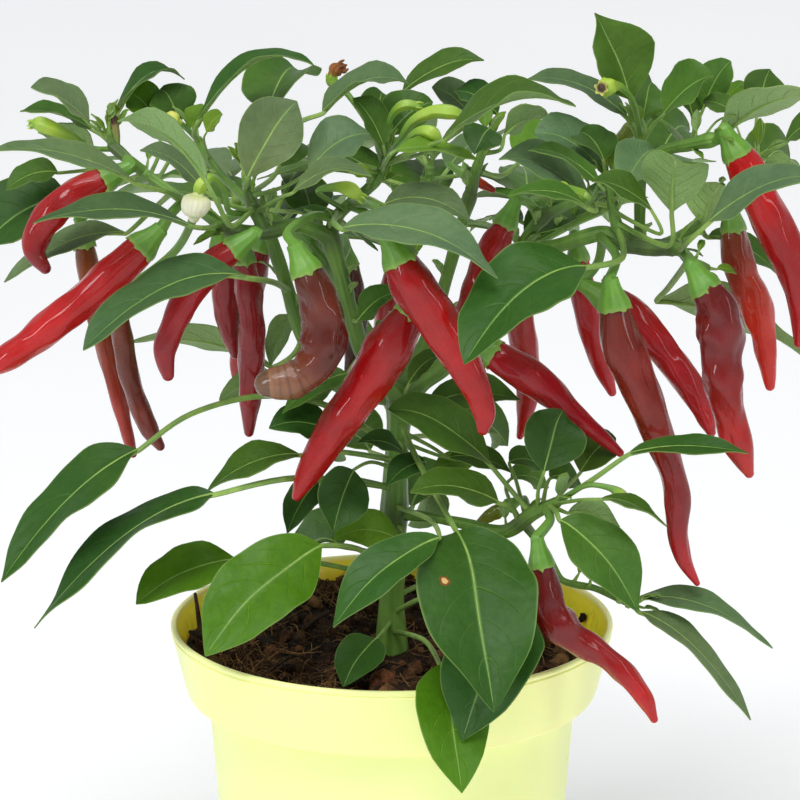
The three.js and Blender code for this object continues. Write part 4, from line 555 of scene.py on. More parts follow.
class Piece:
    """One visible piece: points in mm with a tint and a place on their blade, and faces of several materials."""

    def __init__(self, name, materials):
        self.name, self.materials, self.count = name, materials, 0
        self.points, self.tints, self.blades = [], [], []
        self.corners, self.kinds = {4: [], 3: []}, {4: [], 3: []}

    def add(self, points, tint, blade, *faces):
        points = np.reshape(points, (-1, 3))
        n = len(points)
        self.points.append(points)
        self.tints.append(np.broadcast_to(np.reshape(tint, (-1, 3)), (n, 3)))
        self.blades.append(np.zeros((n, 3)) if blade is None else np.reshape(blade, (n, 3)))
        for corners, material in faces:
            self.corners[corners.shape[1]].append(corners + self.count)
            self.kinds[corners.shape[1]].append(np.full(len(corners), self.materials.index(material)))
        self.count += n

    def skin(self, rings, material, tint, blade=None, poles=None):
        """A closed skin over rings of equally many points, with a pole at each end."""
        rings = np.asarray(rings, float)
        n, sides = rings.shape[:2]
        i, k = np.meshgrid(np.arange(n - 1), np.arange(sides), indexing="ij")
        a, b = (i * sides + k).ravel(), (i * sides + (k + 1) % sides).ravel()
        k, last = np.arange(sides), (n - 1) * sides
        low, high = np.full(sides, n * sides), np.full(sides, n * sides + 1)
        ends = np.concatenate([np.stack([low, (k + 1) % sides, k], 1),
                               np.stack([high, last + k, last + (k + 1) % sides], 1)])
        if poles is None:
            poles = [rings[0].mean(0), rings[-1].mean(0)]
        tint = np.broadcast_to(np.reshape(tint, (-1, 3)), (n * sides, 3))
        if blade is not None:
            blade = np.reshape(blade, (-1, 3))
            blade = np.concatenate([blade, blade[[0, -sides]]])
        self.add(np.concatenate([rings.reshape(-1, 3), poles]), np.concatenate([tint, tint[[0, -1]]]), blade,
                 (np.stack([a, b, b + sides, a + sides], 1), material), (ends, material))

    def tube(self, path, radii, sides, material, tint, lobes=None, rounded=True, flat=1):
        """A skin along a path. lobes(turns, share) widens its rings, flat squeezes them across."""
        path, radii = np.asarray(path, float), np.asarray(radii, float)
        n, cap = len(path), CAP_STEPS if rounded else CAP_STEPS[:0]
        pick = np.concatenate([np.zeros(len(cap), int), np.arange(n), np.full(len(cap), n - 1)])
        shrink = np.concatenate([cap, np.ones(n), cap[::-1]])
        bulge = np.sqrt(1 - cap * cap)
        shift = np.concatenate([-bulge, np.zeros(n), bulge[::-1]])
        ahead, out = (v[pick] for v in carried(path))
        third = np.cross(ahead, out)
        centre = path[pick] + ahead * radii[pick, None] * shift[:, None]
        where = np.linspace(0, 1, n)[pick]
        turns = circle(sides)
        wide = (radii[pick] * shrink)[:, None] * (1 if lobes is None else lobes(turns[None, :], where[:, None]))
        wide = wide[:, :, None]
        rings = (centre[:, None] + out[:, None] * (np.cos(turns)[None, :, None] * wide)
                 + third[:, None] * (np.sin(turns)[None, :, None] * wide * flat))
        tip = 0.07 if rounded else 0
        poles = centre[[0, -1]] + ahead[[0, -1]] * np.array([[-tip], [tip]]) * radii[[0, -1], None]
        along = np.repeat(where, sides)
        blade = np.stack([np.tile(turns / FULL_TURN, len(pick)), along, along * length_of(path) / 50], 1)
        colour = np.broadcast_to(tint, (n, 3))[pick]
        self.skin(rings, material, np.repeat(colour, sides, 0), blade, poles)

    def settle(self, node, slot):
        """Make the mesh and put it in the place of a node."""
        points = np.concatenate(self.points) * MM
        quads, corners = (np.concatenate([np.zeros((0, n), int), *self.corners[n]]) for n in (4, 3))
        loops = np.concatenate([quads.ravel(), corners.ravel()])
        starts = np.concatenate([np.arange(len(quads)) * 4, len(quads) * 4 + np.arange(len(corners)) * 3])
        mesh = bpy.data.meshes.new(self.name)
        mesh.vertices.add(len(points))
        mesh.loops.add(len(loops))
        mesh.polygons.add(len(starts))
        for group, key, values, kind in (
                (mesh.vertices, "co", points, np.float32), (mesh.loops, "vertex_index", loops, np.int32),
                (mesh.polygons, "loop_start", starts, np.int32),
                (mesh.polygons, "material_index", np.concatenate(self.kinds[4] + self.kinds[3]), np.int32),
                (mesh.polygons, "use_smooth", np.ones(len(starts)), bool)):
            group.foreach_set(key, values.astype(kind).ravel())
        mesh.update(calc_edges=True)
        tint = mesh.color_attributes.new("tint", "FLOAT_COLOR", "POINT")
        colours = np.concatenate([np.concatenate(self.tints), np.ones((len(points), 1))], 1)
        tint.data.foreach_set("color", colours.astype(np.float32).ravel())
        blade = mesh.attributes.new("blade", "FLOAT_VECTOR", "POINT")
        blade.data.foreach_set("vector", np.concatenate(self.blades).astype(np.float32).ravel())
        mesh.validate()
        mesh.set_sharp_from_angle(angle=SHARP_ANGLE)
        for material in self.materials:
            mesh.materials.append(MATERIALS[material])
        thing = bpy.data.objects.new(self.name, mesh)
        bpy.context.scene.collection.objects.link(thing)
        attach(thing, "root")
        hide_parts(node)


class Nodes:
    """Short ways to build a node tree."""

    def __init__(self, name):
        self.material = bpy.data.materials.new(name)
        self.material.use_nodes = True
        self.tree = self.material.node_tree

    def fill(self, socket, value):
        if isinstance(value, bpy.types.NodeSocket):
            self.tree.links.new(value, socket)
        else:
            socket.default_value = (*value, 1) if isinstance(value, np.ndarray) else value

    def node(self, kind, output, inputs, **settings):
        """A node with its settings and inputs, by name or place: one of its outputs."""
        node = self.tree.nodes.new("ShaderNode" + kind)
        for key, value in settings.items():
            setattr(node, key, value)
        for key, value in inputs.items():
            self.fill(node.inputs[key], value)
        return node.outputs[output]

    def attribute(self, name, output="Color"):
        return self.node("Attribute", output, {}, attribute_name=name)

    def parts(self, vector):
        return self.node("SeparateXYZ", 0, {0: vector}).node.outputs

    def maths(self, operation, *values):
        return self.node("Math", 0, dict(enumerate(values)), operation=operation)

    def times(self, one, two):
        return self.maths("MULTIPLY", one, two)

    def ramp(self, *values):
        """A smooth step: the value, its low and high limit, and what they become if not 0 and 1."""
        return self.node("MapRange", 0, dict(enumerate((*values, 0.0, 1.0)[:5])), interpolation_type="SMOOTHSTEP")

    def mix(self, share, one, two, blend="MIX"):
        return self.node("Mix", 2, {0: share, 6: one, 7: two}, data_type="RGBA", blend_type=blend)

    def tinted(self, colour, *by):
        return self.mix(1.0, colour, (*by, 1), "MULTIPLY")

    def place(self):
        return self.node("TexCoord", "Object", {})

    def noise(self, scale, detail=3.0, rough=0.55, vector=None):
        return self.node("TexNoise", "Fac", {"Scale": scale, "Detail": detail, "Roughness": rough,
                                             "Vector": vector or self.place()})

    def voronoi(self, scale, feature="F1"):
        return self.node("TexVoronoi", "Distance", {"Scale": scale, "Vector": self.place()}, feature=feature)

    def stretched(self, vector, by):
        return self.node("Mapping", 0, {"Vector": vector, "Scale": by})

    def bump(self, height, distance, strength, after=None):
        below = {} if after is None else {"Normal": after}
        return self.node("Bump", 0, {"Strength": strength, "Distance": distance, "Height": height, **below})

    def finish(self, colour, rough, normal=None, **constants):
        shader = self.tree.nodes["Principled BSDF"]
        self.fill(shader.inputs["Base Color"], colour)
        self.fill(shader.inputs["Roughness"], rough)
        if normal is not None:
            self.fill(shader.inputs["Normal"], normal)
        for key, value in constants.items():
            shader.inputs[key.replace("_", " ")].default_value = value
        return self.material


def blade_veins(n):
    """Masks of the side veins, of the net between them and of the midrib, and the place across the blade."""
    across, along, _ = n.parts(n.attribute("blade", "Vector"))
    across = n.maths("ABSOLUTE", across)
    bent = n.times(n.maths("POWER", across, 1.5), VEIN_SLANT)
    place = n.times(n.maths("SUBTRACT", along, bent), VEIN_PAIRS)
    off = n.maths("ABSOLUTE", n.maths("SUBTRACT", n.maths("FRACT", n.maths("ADD", place, 7.5)), 0.5))
    wobble = n.times(n.maths("SUBTRACT", n.noise(110, 3), 0.4), 0.22)
    side = n.ramp(n.maths("ABSOLUTE", n.maths("ADD", off, wobble)), 0.0, 0.07, 1.0, 0.0)
    side = n.times(side, n.ramp(across, 0.45, 0.95, 1.0, 0.0))
    net = n.ramp(n.voronoi(820, "DISTANCE_TO_EDGE"), 0.0, 0.12, 1.0, 0.0)
    return side, net, n.ramp(across, 0.0, 0.055, 1.0, 0.0), across


def leaf_top():
    n = Nodes("leaf_top")
    side, net, middle, across = blade_veins(n)
    tint = n.attribute("tint")
    colour = n.mix(n.ramp(n.noise(45, 4), 0.35, 0.7, 0.0, 0.45), tint, n.tinted(tint, 1.5, 1.3, 1.1))
    mottle = n.noise(330, 4, 0.65)
    colour = n.mix(n.ramp(mottle, 0.38, 0.62, 0.5, 0.0), colour, n.tinted(colour, 0.7, 0.78, 0.75))
    colour = n.mix(n.times(side, 0.45), colour, n.tinted(tint, 2.3, 1.75, 2.1))
    colour = n.mix(n.times(net, 0.05), colour, n.tinted(tint, 1.9, 1.6, 1.8))
    colour = n.mix(n.times(middle, 0.6), colour, light_of((122, 160, 84)))
    colour = n.mix(n.ramp(across, 0.955, 1.0, 0.0, 0.5), colour, light_of((134, 160, 84)))
    # one brown spot with a pale middle, placed where its leaf is made
    away = n.node("VectorMath", "Value", {0: n.place()}, operation="DISTANCE", name="spot")
    far = n.maths("ADD", away, n.times(n.maths("SUBTRACT", n.noise(900, 2), 0.5), 0.0012))
    colour = n.mix(n.ramp(far, 0.0013, 0.0017, 1.0, 0.0), colour, light_of((116, 70, 30)))
    colour = n.mix(n.ramp(far, 0.0008, 0.0011, 1.0, 0.0), colour, light_of((206, 172, 110)))
    specks = n.ramp(n.voronoi(240), 0.02, 0.05, 0.5, 0.0)
    colour = n.mix(n.times(specks, n.ramp(n.noise(30), 0.6, 0.7)), colour, (0.4, 0.45, 0.3, 1))
    normal = n.bump(n.times(side, -1.0), 0.0003, 0.6)
    normal = n.bump(n.times(net, -1.0), 0.00004, 0.3, normal)
    normal = n.bump(n.noise(150, 2), 0.0013, 0.4, normal)
    normal = n.bump(mottle, 0.0003, 0.4, normal)
    return n.finish(colour, n.ramp(n.noise(60), 0.3, 0.7, 0.4, 0.52), normal, Specular_IOR_Level=0.2)


def leaf_under():
    n = Nodes("leaf_under")
    side, net, middle, _ = blade_veins(n)
    pale = n.mix(0.62, n.attribute("tint"), light_of((150, 184, 112)))
    colour = n.mix(n.ramp(n.noise(50, 4), 0.3, 0.7, 0.0, 0.3), pale, n.tinted(pale, 0.75, 0.82, 0.8))
    colour = n.mix(n.times(side, 0.6), colour, light_of((176, 204, 136)))
    colour = n.mix(n.times(net, 0.25), colour, light_of((168, 198, 128)))
    colour = n.mix(n.times(middle, 0.8), colour, light_of((184, 210, 140)))
    normal = n.bump(net, 0.00008, 0.4, n.bump(side, 0.0005, 0.8))
    return n.finish(colour, 0.62, normal, Specular_IOR_Level=0.35)


def stem_skin():
    n = Nodes("stem_skin")
    tint = n.attribute("tint")
    around = n.parts(n.attribute("blade", "Vector"))[0]
    wave = n.times(n.maths("ADD", n.maths("SINE", n.times(around, 62.83)), 1.0), 0.5)
    streak = n.noise(260, 3, vector=n.stretched(n.place(), (1, 1, 0.18)))
    colour = n.mix(n.ramp(streak, 0.38, 0.66, 0.0, 0.55), tint, n.tinted(tint, 1.75, 1.5, 1.35))
    colour = n.mix(n.times(wave, 0.18), colour, n.tinted(tint, 0.55, 0.68, 0.6))
    normal = n.bump(n.noise(1100, 2), 0.00012, 0.6, n.bump(wave, 0.0003, 0.5))
    return n.finish(colour, n.ramp(streak, 0.3, 0.7, 0.42, 0.56), normal, Specular_IOR_Level=0.45)


def calyx_skin():
    n = Nodes("calyx_skin")
    tint = n.attribute("tint")
    colour = n.mix(n.ramp(n.noise(160, 4), 0.35, 0.7, 0.0, 0.5), tint, n.tinted(tint, 1.45, 1.22, 1.25))
    return n.finish(colour, 0.42, n.bump(n.noise(420, 3), 0.0003, 0.5), Specular_IOR_Level=0.5,
                    Subsurface_Weight=0.12, Subsurface_Scale=0.004)


def pepper_skin():
    n = Nodes("pepper_skin")
    tint = n.attribute("tint")
    blade = n.attribute("blade", "Vector")
    streaks = n.noise(5.5, 4, vector=n.stretched(blade, (2.2, 0, 1.1)))
    blotch = n.noise(70, 4, 0.6)
    colour = n.mix(n.ramp(blotch, 0.32, 0.66, 0.0, 0.6), tint, n.tinted(tint, 0.55, 0.4, 0.5))
    colour = n.mix(n.ramp(n.voronoi(310), 0.05, 0.16, 0.35, 0.0), colour, n.tinted(tint, 1.35, 2.2, 1.9))
    colour = n.mix(n.ramp(streaks, 0.5, 0.72, 0.0, 0.35), colour, n.tinted(tint, 1.2, 1.5, 1.35))
    normal = n.bump(n.noise(26, 3, vector=n.stretched(blade, (4.5, 0, 0.55))), 0.001, 0.3)
    normal = n.bump(n.noise(150, 3), 0.0014, 0.26, normal)
    normal = n.bump(n.noise(620, 3), 0.00018, 0.35, normal)
    return n.finish(colour, n.ramp(blotch, 0.3, 0.75, 0.2, 0.34), normal, Specular_IOR_Level=0.2, Coat_Weight=0.5,
                    Coat_Roughness=0.09)


def pot_plastic():
    """Paler outside than inside, whose brighter, deeper yellow is painted light for the glow through the thin wall,
    with dust near the soil: the blade says where each is.
    """
    n = Nodes("pot_plastic")
    inner, dusty, _ = n.parts(n.attribute("blade", "Vector"))
    # painted light: the inside is a brighter, deeper yellow for light glowing through the thin wall
    colour = n.mix(inner, light_of((249, 250, 168)), light_of((255, 244, 62)))
    colour = n.mix(n.ramp(n.noise(14, 3), 0.35, 0.7, 0.0, 0.25), colour, n.tinted(colour, 0.95, 0.96, 0.86))
    dust = n.times(dusty, n.ramp(n.noise(260, 4, 0.7), 0.5, 0.68))
    colour = n.mix(dust, colour, light_of((150, 124, 60)))
    normal = n.bump(n.noise(9, 2), 0.0006, 0.3, n.bump(n.noise(800, 2), 0.00006, 0.35))
    scuff = n.noise(120, 4, 0.7, vector=n.stretched(n.place(), (1, 1, 0.25)))
    return n.finish(colour, n.ramp(scuff, 0.35, 0.7, 0.3, 0.44), normal, Specular_IOR_Level=0.5,
                    Subsurface_Weight=0.25, Subsurface_Scale=0.006)


def soil_stuff():
    n = Nodes("soil")
    tint = n.attribute("tint")
    lump = n.noise(260, 5, 0.7)
    colour = n.mix(n.ramp(lump, 0.35, 0.62), n.tinted(tint, 0.35, 0.33, 0.32), tint)
    colour = n.mix(n.ramp(n.noise(700, 2), 0.66, 0.74, 0.0, 0.7), colour, light_of((150, 112, 70)))
    normal = n.bump(n.noise(1400, 3), 0.0004, 0.7, n.bump(lump, 0.0022, 0.9))
    return n.finish(colour, 0.9, normal, Specular_IOR_Level=0.25)


def petal(name, rough, sub):
    n = Nodes(name)
    tint = n.attribute("tint")
    grooves = n.noise(9, 3, vector=n.stretched(n.attribute("blade", "Vector"), (9, 0, 0.5)))
    colour = n.mix(n.ramp(grooves, 0.35, 0.7, 0.0, 0.5), tint, n.tinted(tint, 0.78, 0.8, 0.66))
    return n.finish(colour, rough, n.bump(grooves, 0.0004, 0.5), Specular_IOR_Level=0.35, Subsurface_Weight=sub,
                    Subsurface_Scale=0.003)


def floor_stuff():
    n = Nodes("floor_plain")
    colour = n.mix(n.ramp(n.noise(1.2, 2), 0.3, 0.7), (0.93, 0.935, 0.945, 1), (0.95, 0.952, 0.958, 1))
    return n.finish(colour, 0.85, None, Specular_IOR_Level=0.2, Emission_Color=(0.96, 0.98, 1, 1),
                    Emission_Strength=0.12)


MATERIALS = {
    "leaf_top": leaf_top(), "leaf_under": leaf_under(), "stem": stem_skin(), "calyx": calyx_skin(),
    "pepper": pepper_skin(), "pot": pot_plastic(), "soil": soil_stuff(), "petal": petal("petal", 0.5, 0.2),
    "dry_petal": petal("dry_petal", 0.75, 0.0),
}
GREEN = ["stem", "leaf_top", "leaf_under", "calyx", "petal", "dry_petal"]
pieces = {}


def piece_of(node):
    if node not in pieces:
        pieces[node] = Piece(node + "_dressed", GREEN)
    return pieces[node]


# ---- Stems ----
lines = {}
for (name, node), (radii, points) in rows_of(STEMS):
    path = np.array([seen(*p) for p in points])
    if name == "trunk":
        path[0] = (path[1][0], 0, STEM_FOOT_Z)
    lines[name] = (node, curve(path, 8), np.array(radii[0]))
forks = np.array([path[0] for name, (_, path, _) in lines.items() if name != "trunk"])

for order, (name, (node, path, radii)) in enumerate(lines.items()):
    fine = curve(path[::4] if (len(path) - 1) % 4 == 0 else path, 5)
    size = spread(radii, len(fine))[:, 0]
    size = size * (1 + 0.05 * np.sin(np.linspace(0, 9 + 3 * len(radii), len(fine)) + order))
    near = np.min(np.linalg.norm(fine[:, None] - forks[None], axis=2), axis=1)
    size = size * (1 + 0.22 * np.exp(-(near / 5) ** 2))
    dark = 0.6 * np.exp(-(near / 4) ** 2)
    along = np.linspace(0, 1, len(fine))
    green = light_of(STEM_GREEN) * (1 + 0.12 * np.sin(7 * along + order))[:, None]
    if name == "trunk":
        green = green * (0.85 + 0.25 * along)[:, None]
        size = size * (1 + 0.45 * np.exp(-((fine[:, 2] - 104) / 7) ** 2))
    piece_of(node).tube(fine, size, 20 if name == "trunk" else 14, "stem", blend(green, light_of(STEM_DARK), dark),
                        ridged(5, 0.055, order))


def on_stem(node, px, py):
    """The point of the node's stems that looks nearest to a place in the photo."""
    return nearest_seen(np.concatenate([path for owner, path, _ in lines.values() if owner == node]), px, py)


# a cut stem that has dried to brown, standing on another
foot = on_stem("spray_far_left", 108, 156)
top = foot + np.array([-0.6, 0.3, 8.5])
path = arched(foot, top, np.array([0.4, 0, 0]), 6)
share = np.linspace(0, 1, len(path))
tint = blend(light_of(STEM_GREEN), light_of(STEM_DRY), share)
tint[-3:] = light_of(WOOD)
piece_of("spray_far_left").tube(path, 1.1 + 0.2 * share ** 3, 14, "stem", tint, ridged(5, 0.08, 1))


# ---- Leaves ----
def breadth(t, full):
    """Half of a blade's width at t of its length, as a share of the widest."""
    t = np.clip(t, 1e-4, 1 - 1e-4)
    high, rise, fall, waist, foot, taper, end, bend = (
        (2.83, 0.75, 0.75, 0.5, 0.08, 0.35, 0.8, 1.2) if full else (3.0, 0.66, 0.92, 0.72, 0.1, 0.24, 0.66, 1.6))
    return (high * t ** rise * (1 - t) ** fall * (1 - waist * np.exp(-t / foot))
            * (1 - taper * np.clip((t - end) / (1 - end), 0, 1) ** bend))


def leaf(name, piece, stalk, base, tip, wide, lay, bow, facing, phase, colour, number):
    """A thin closed blade, curved along and across, with its stalk and midrib as one tapering line."""
    draw = np.random.default_rng(LEAF_SEED + number)
    more_lay, fold, waves = LEAF_SETS.get(name, (0, 1, 1))
    wide = wide * LEAF_SLIM.get(name, 1)
    bow = bow + LEAF_BOW.get(name, 0)
    middle = (base + tip) / 2 + SCREEN_UP * bow
    control = 2 * middle - (base + tip) / 2
    long = np.linalg.norm(tip - base)
    rows = int(np.clip(long * 0.62, 16, 42))

    def spine_at(t):
        t = np.asarray(t)[:, None]
        return base * (1 - t) ** 2 + control * 2 * t * (1 - t) + tip * t ** 2

    def frame_at(t):
        t = np.asarray(t)[:, None]
        ahead = unit((control - base) * (1 - t) + (tip - control) * t)
        face = unit(facing - ahead * (ahead @ facing)[:, None])
        return face, np.cross(ahead, face)

    centre = frame_at([0.5])[1][0]
    lean = np.sign(centre[2] if abs(centre[2]) > 0.35 else centre[0])

    def turned(t):
        face, side = frame_at(t)
        roll = ((lay + more_lay + 14 * math.sin(phase) * (np.asarray(t) - 0.5)) * DEG * lean)[:, None]
        return face * np.cos(roll) + side * np.sin(roll), side * np.cos(roll) - face * np.sin(roll)

    t = np.linspace(0, 1, rows)
    t = t - 0.035 * np.sin(FULL_TURN * t) / FULL_TURN
    t[0], t[-1] = 0.004, 1
    normal, out = turned(t)
    sway = long * 0.012 * draw.uniform(-1, 1)

    def swayed(t):
        return (sway * np.sin(math.pi * t) * np.sin(FULL_TURN * t))[:, None]

    spine = spine_at(t) + out * swayed(t)
    shape = breadth(t, name in FULL_LEAVES)
    if name == "u36":
        shape = shape * (1 - 0.5 * np.clip((t - 0.42) / 0.5, 0, 1))
    half = np.maximum(0.5 * wide * shape, 0.10)[:, None]
    columns = 17 if long > 26 else 13
    U = (np.sin(np.linspace(-1, 1, columns) * math.pi / 2 * 0.92) / math.sin(math.pi / 2 * 0.92))[None]
    T, size, hand = t[:, None], np.abs(U), np.sign(U)
    still = np.minimum(1, shape / 0.4)[:, None]
    wave = still * waves * BLADE_WAVE * wide * np.sin(9.4 * T + phase + 1.05 * (1 - hand))
    frill = 0.012 * still * wide * np.sin(27 * T + 2.3 * phase + 1.6 * hand) * size ** 3 * np.sin(math.pi * T) ** 0.5
    lift = fold * BLADE_FOLD * half * size ** 1.25 + wave * size ** 1.5 + frill
    lift = lift + 0.05 * half * np.sin(math.pi * size)
    crease = (0.5 + 0.5 * np.cos(FULL_TURN * ((T - VEIN_SLANT * size ** 1.5) * VEIN_PAIRS))) ** 2
    deep = min(0.3, 0.011 * wide) * np.sin(math.pi * np.clip(size * 0.9 + 0.05, 0, 1)) * np.sin(math.pi * T) ** 0.4
    lift = lift - crease * deep
    ragged = 1 + 0.012 * np.sin(21 * T + 3 * phase + hand) * size ** 4
    top = spine[:, None] + out[:, None] * (U * half * ragged)[..., None] + normal[:, None] * lift[..., None]
    low = top - normal[:, None] * BLADE_THICKNESS
    if name in SPOTS:
        place = nearest_seen(top.reshape(-1, 3), *SPOTS[name])
        MATERIALS["leaf_top"].node_tree.nodes["spot"].inputs[1].default_value = tuple(place * MM)

    grid = np.arange(top[..., 0].size).reshape(top.shape[:2])
    below = grid.size

    def wall(a, b):
        return np.stack([a, a + below, b + below, b], 1)

    upper = np.stack([grid[:-1, :-1], grid[:-1, 1:], grid[1:, 1:], grid[1:, :-1]], 2).reshape(-1, 4)
    first, last, left, right = grid[0], grid[-1], grid[:, 0], grid[:, -1]
    edges = [upper, wall(right[:-1], right[1:]), wall(left[1:], left[:-1]),
             np.roll(wall(first[:-1], first[1:]), 1, 1), np.roll(wall(last[1:], last[:-1]), 1, 1)]
    own_tint = light_of(colour) * draw.uniform(0.88, 1.14)
    own_tint = own_tint * np.array([draw.uniform(0.9, 1.12), 1, draw.uniform(0.88, 1.1)])
    young = 0.16 * np.exp(-T / 0.18)
    tint = own_tint * (1 + young[..., None] * np.array([1.6, 0.9, 0.4])) * np.ones((*grid.shape, 1))
    blade = np.stack(np.broadcast_arrays(U, T, number * 0.37), 2)
    piece.add([top, low], [tint, tint], [blade, blade], (np.concatenate(edges), "leaf_top"),
              (upper[:, ::-1] + below, "leaf_under"))

    slim = 0.36 if long < 11 else 0.62 if long < 24 else 0.85 if long < 45 else 1
    s = np.linspace(0.0, 0.96, max(int(rows * 0.5), 8))
    rib_size = slim * (0.7 * (1 - s) ** 1.2 + 0.10)
    normal, out = turned(s)
    rib = spine_at(s) - normal * (rib_size * 0.72)[:, None] + out * swayed(s)
    lead = curve(np.concatenate([np.array(stalk), rib[:2]]), 7)[:-7]
    share = np.linspace(0, 1, len(lead))
    lead_size = slim * (1.0 - 0.24 * share) + 0.6 * np.exp(-share * length_of(lead) / 1.6)
    pale = np.concatenate([0.45 + 0.35 * share, np.full(len(rib) - 1, 0.85)])
    rib_tint = blend(light_of(STEM_GREEN), light_of(RIB_PALE), pale)
    piece.tube(np.concatenate([lead, rib[1:]]), np.concatenate([lead_size, rib_size[1:]]), 9, "stem",
               rib_tint * 0.85 + 0.15 * own_tint, ridged(3, 0.05, phase))


corners_of = {}


def bend_of(node, tip_at):
    """How far the source bent this leaf: the bend whose tip is a corner of the CAD node, or none."""
    if node not in corners_of:
        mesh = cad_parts[node].data
        flat = np.empty(len(mesh.vertices) * 3, np.float32)
        mesh.vertices.foreach_get("co", flat)
        corners_of[node] = flat.reshape(-1, 3) / MM
    misses = [np.min(np.linalg.norm(corners_of[node] - tip_at(bend), axis=1)) for bend in BENDS]
    best = int(np.argmin(misses))
    return BENDS[best] if misses[best] < 0.03 else None


number = -1
for words, groups in rows_of(LEAVES):
    if not groups:
        node = words[0]
        continue
    number += 1
    name, = words
    (root,), via, (base, tip), ((wide, lay, bow),) = groups
    bend = bend_of(node, lambda b: seen(tip[0], tip[1], tip[2] + b))
    if bend is None:
        continue
    steps = len(via) + 1
    stalk = [on_stem(node, *root)]
    stalk += [seen(px, py, away + bend * (i + 1) / steps) for i, (px, py, away) in enumerate(via)]
    start, end = (seen(px, py, away + bend) for px, py, away in (base, tip))
    leaf(name, piece_of(node), stalk, start, end, wide, lay, bow, unit(VIEWER - (start + end) / 2), 1.7 * number,
         LOOK_OF.get(name, LEAF_MIDDLE), number)

for spray, (node, stem, count, long, first) in enumerate(BACK_LEAVES):
    path = lines[stem][1]
    for i in range(count):
        at = path[int(math.floor((len(path) - 1) * (0.16 + 0.84 * i / (count - 1)) + 0.5))]
        turn = (first + BACK_TURN * i) * DEG
        out = unit(np.array([math.cos(turn), abs(math.sin(turn)) * 0.9 + 0.1, 0]))
        length = long * (0.78 + 0.22 * math.sin(2.3 * i + spray))
        reach = unit(np.array([out[0], out[1], 0.45 - 0.16 * ((i * 2) % 5)]))
        phase = 2.1 * i + spray

        def ends(bend):
            start = at + reach * 12 + np.array([0, 0.5 * bend, 3])
            return start, start + reach * length + np.array([0, 0.5 * bend, -6])

        bend = bend_of(node, lambda b: ends(b)[1])
        if bend is not None:
            leaf(f"{stem}_{i}", piece_of(node), [at], *ends(bend), 0.46 * length, 6 * math.sin(phase), 3, UP, phase,
                 (LEAF_MIDDLE, LEAF_DARK, LEAF_GREEN_PAINTED_SHEEN)[i % 3], 200 + 10 * spray + i)

# ---- Young leaves at the ends and forks of the stems ----
for order, (name, (node, path, radii)) in enumerate(lines.items()):
    if name == "trunk" or len(path) < 9:
        continue
    draw = np.random.default_rng(YOUNG_SEED + order)
    heading = direction(path)
    for k, place in enumerate([1.0, 1.0, 1.0, 0.72, 0.62]):
        i = int((len(path) - 1) * place)
        out = spoke(heading[i], any_across(heading[i]), draw.uniform(0, FULL_TURN))
        way = unit(heading[i] * (1.1 if place == 1 else 0.35) + out * 0.75 + UP * 0.45)
        length = draw.uniform(5.5, 9.5) * (1 if place == 1 else 0.8)
        start = path[i] + way * draw.uniform(2.0, 4.0)
        end = start + way * length - UP * draw.uniform(0, 0.25) * length
        leaf(f"young_{name}_{k}", piece_of(node), [path[i]], start, end, draw.uniform(0.34, 0.5) * length,
             draw.uniform(0, 30), 0.8, unit(UP + 0.3 * out), draw.uniform(0, 6), LEAF_YOUNG, 400 + 10 * order + k)

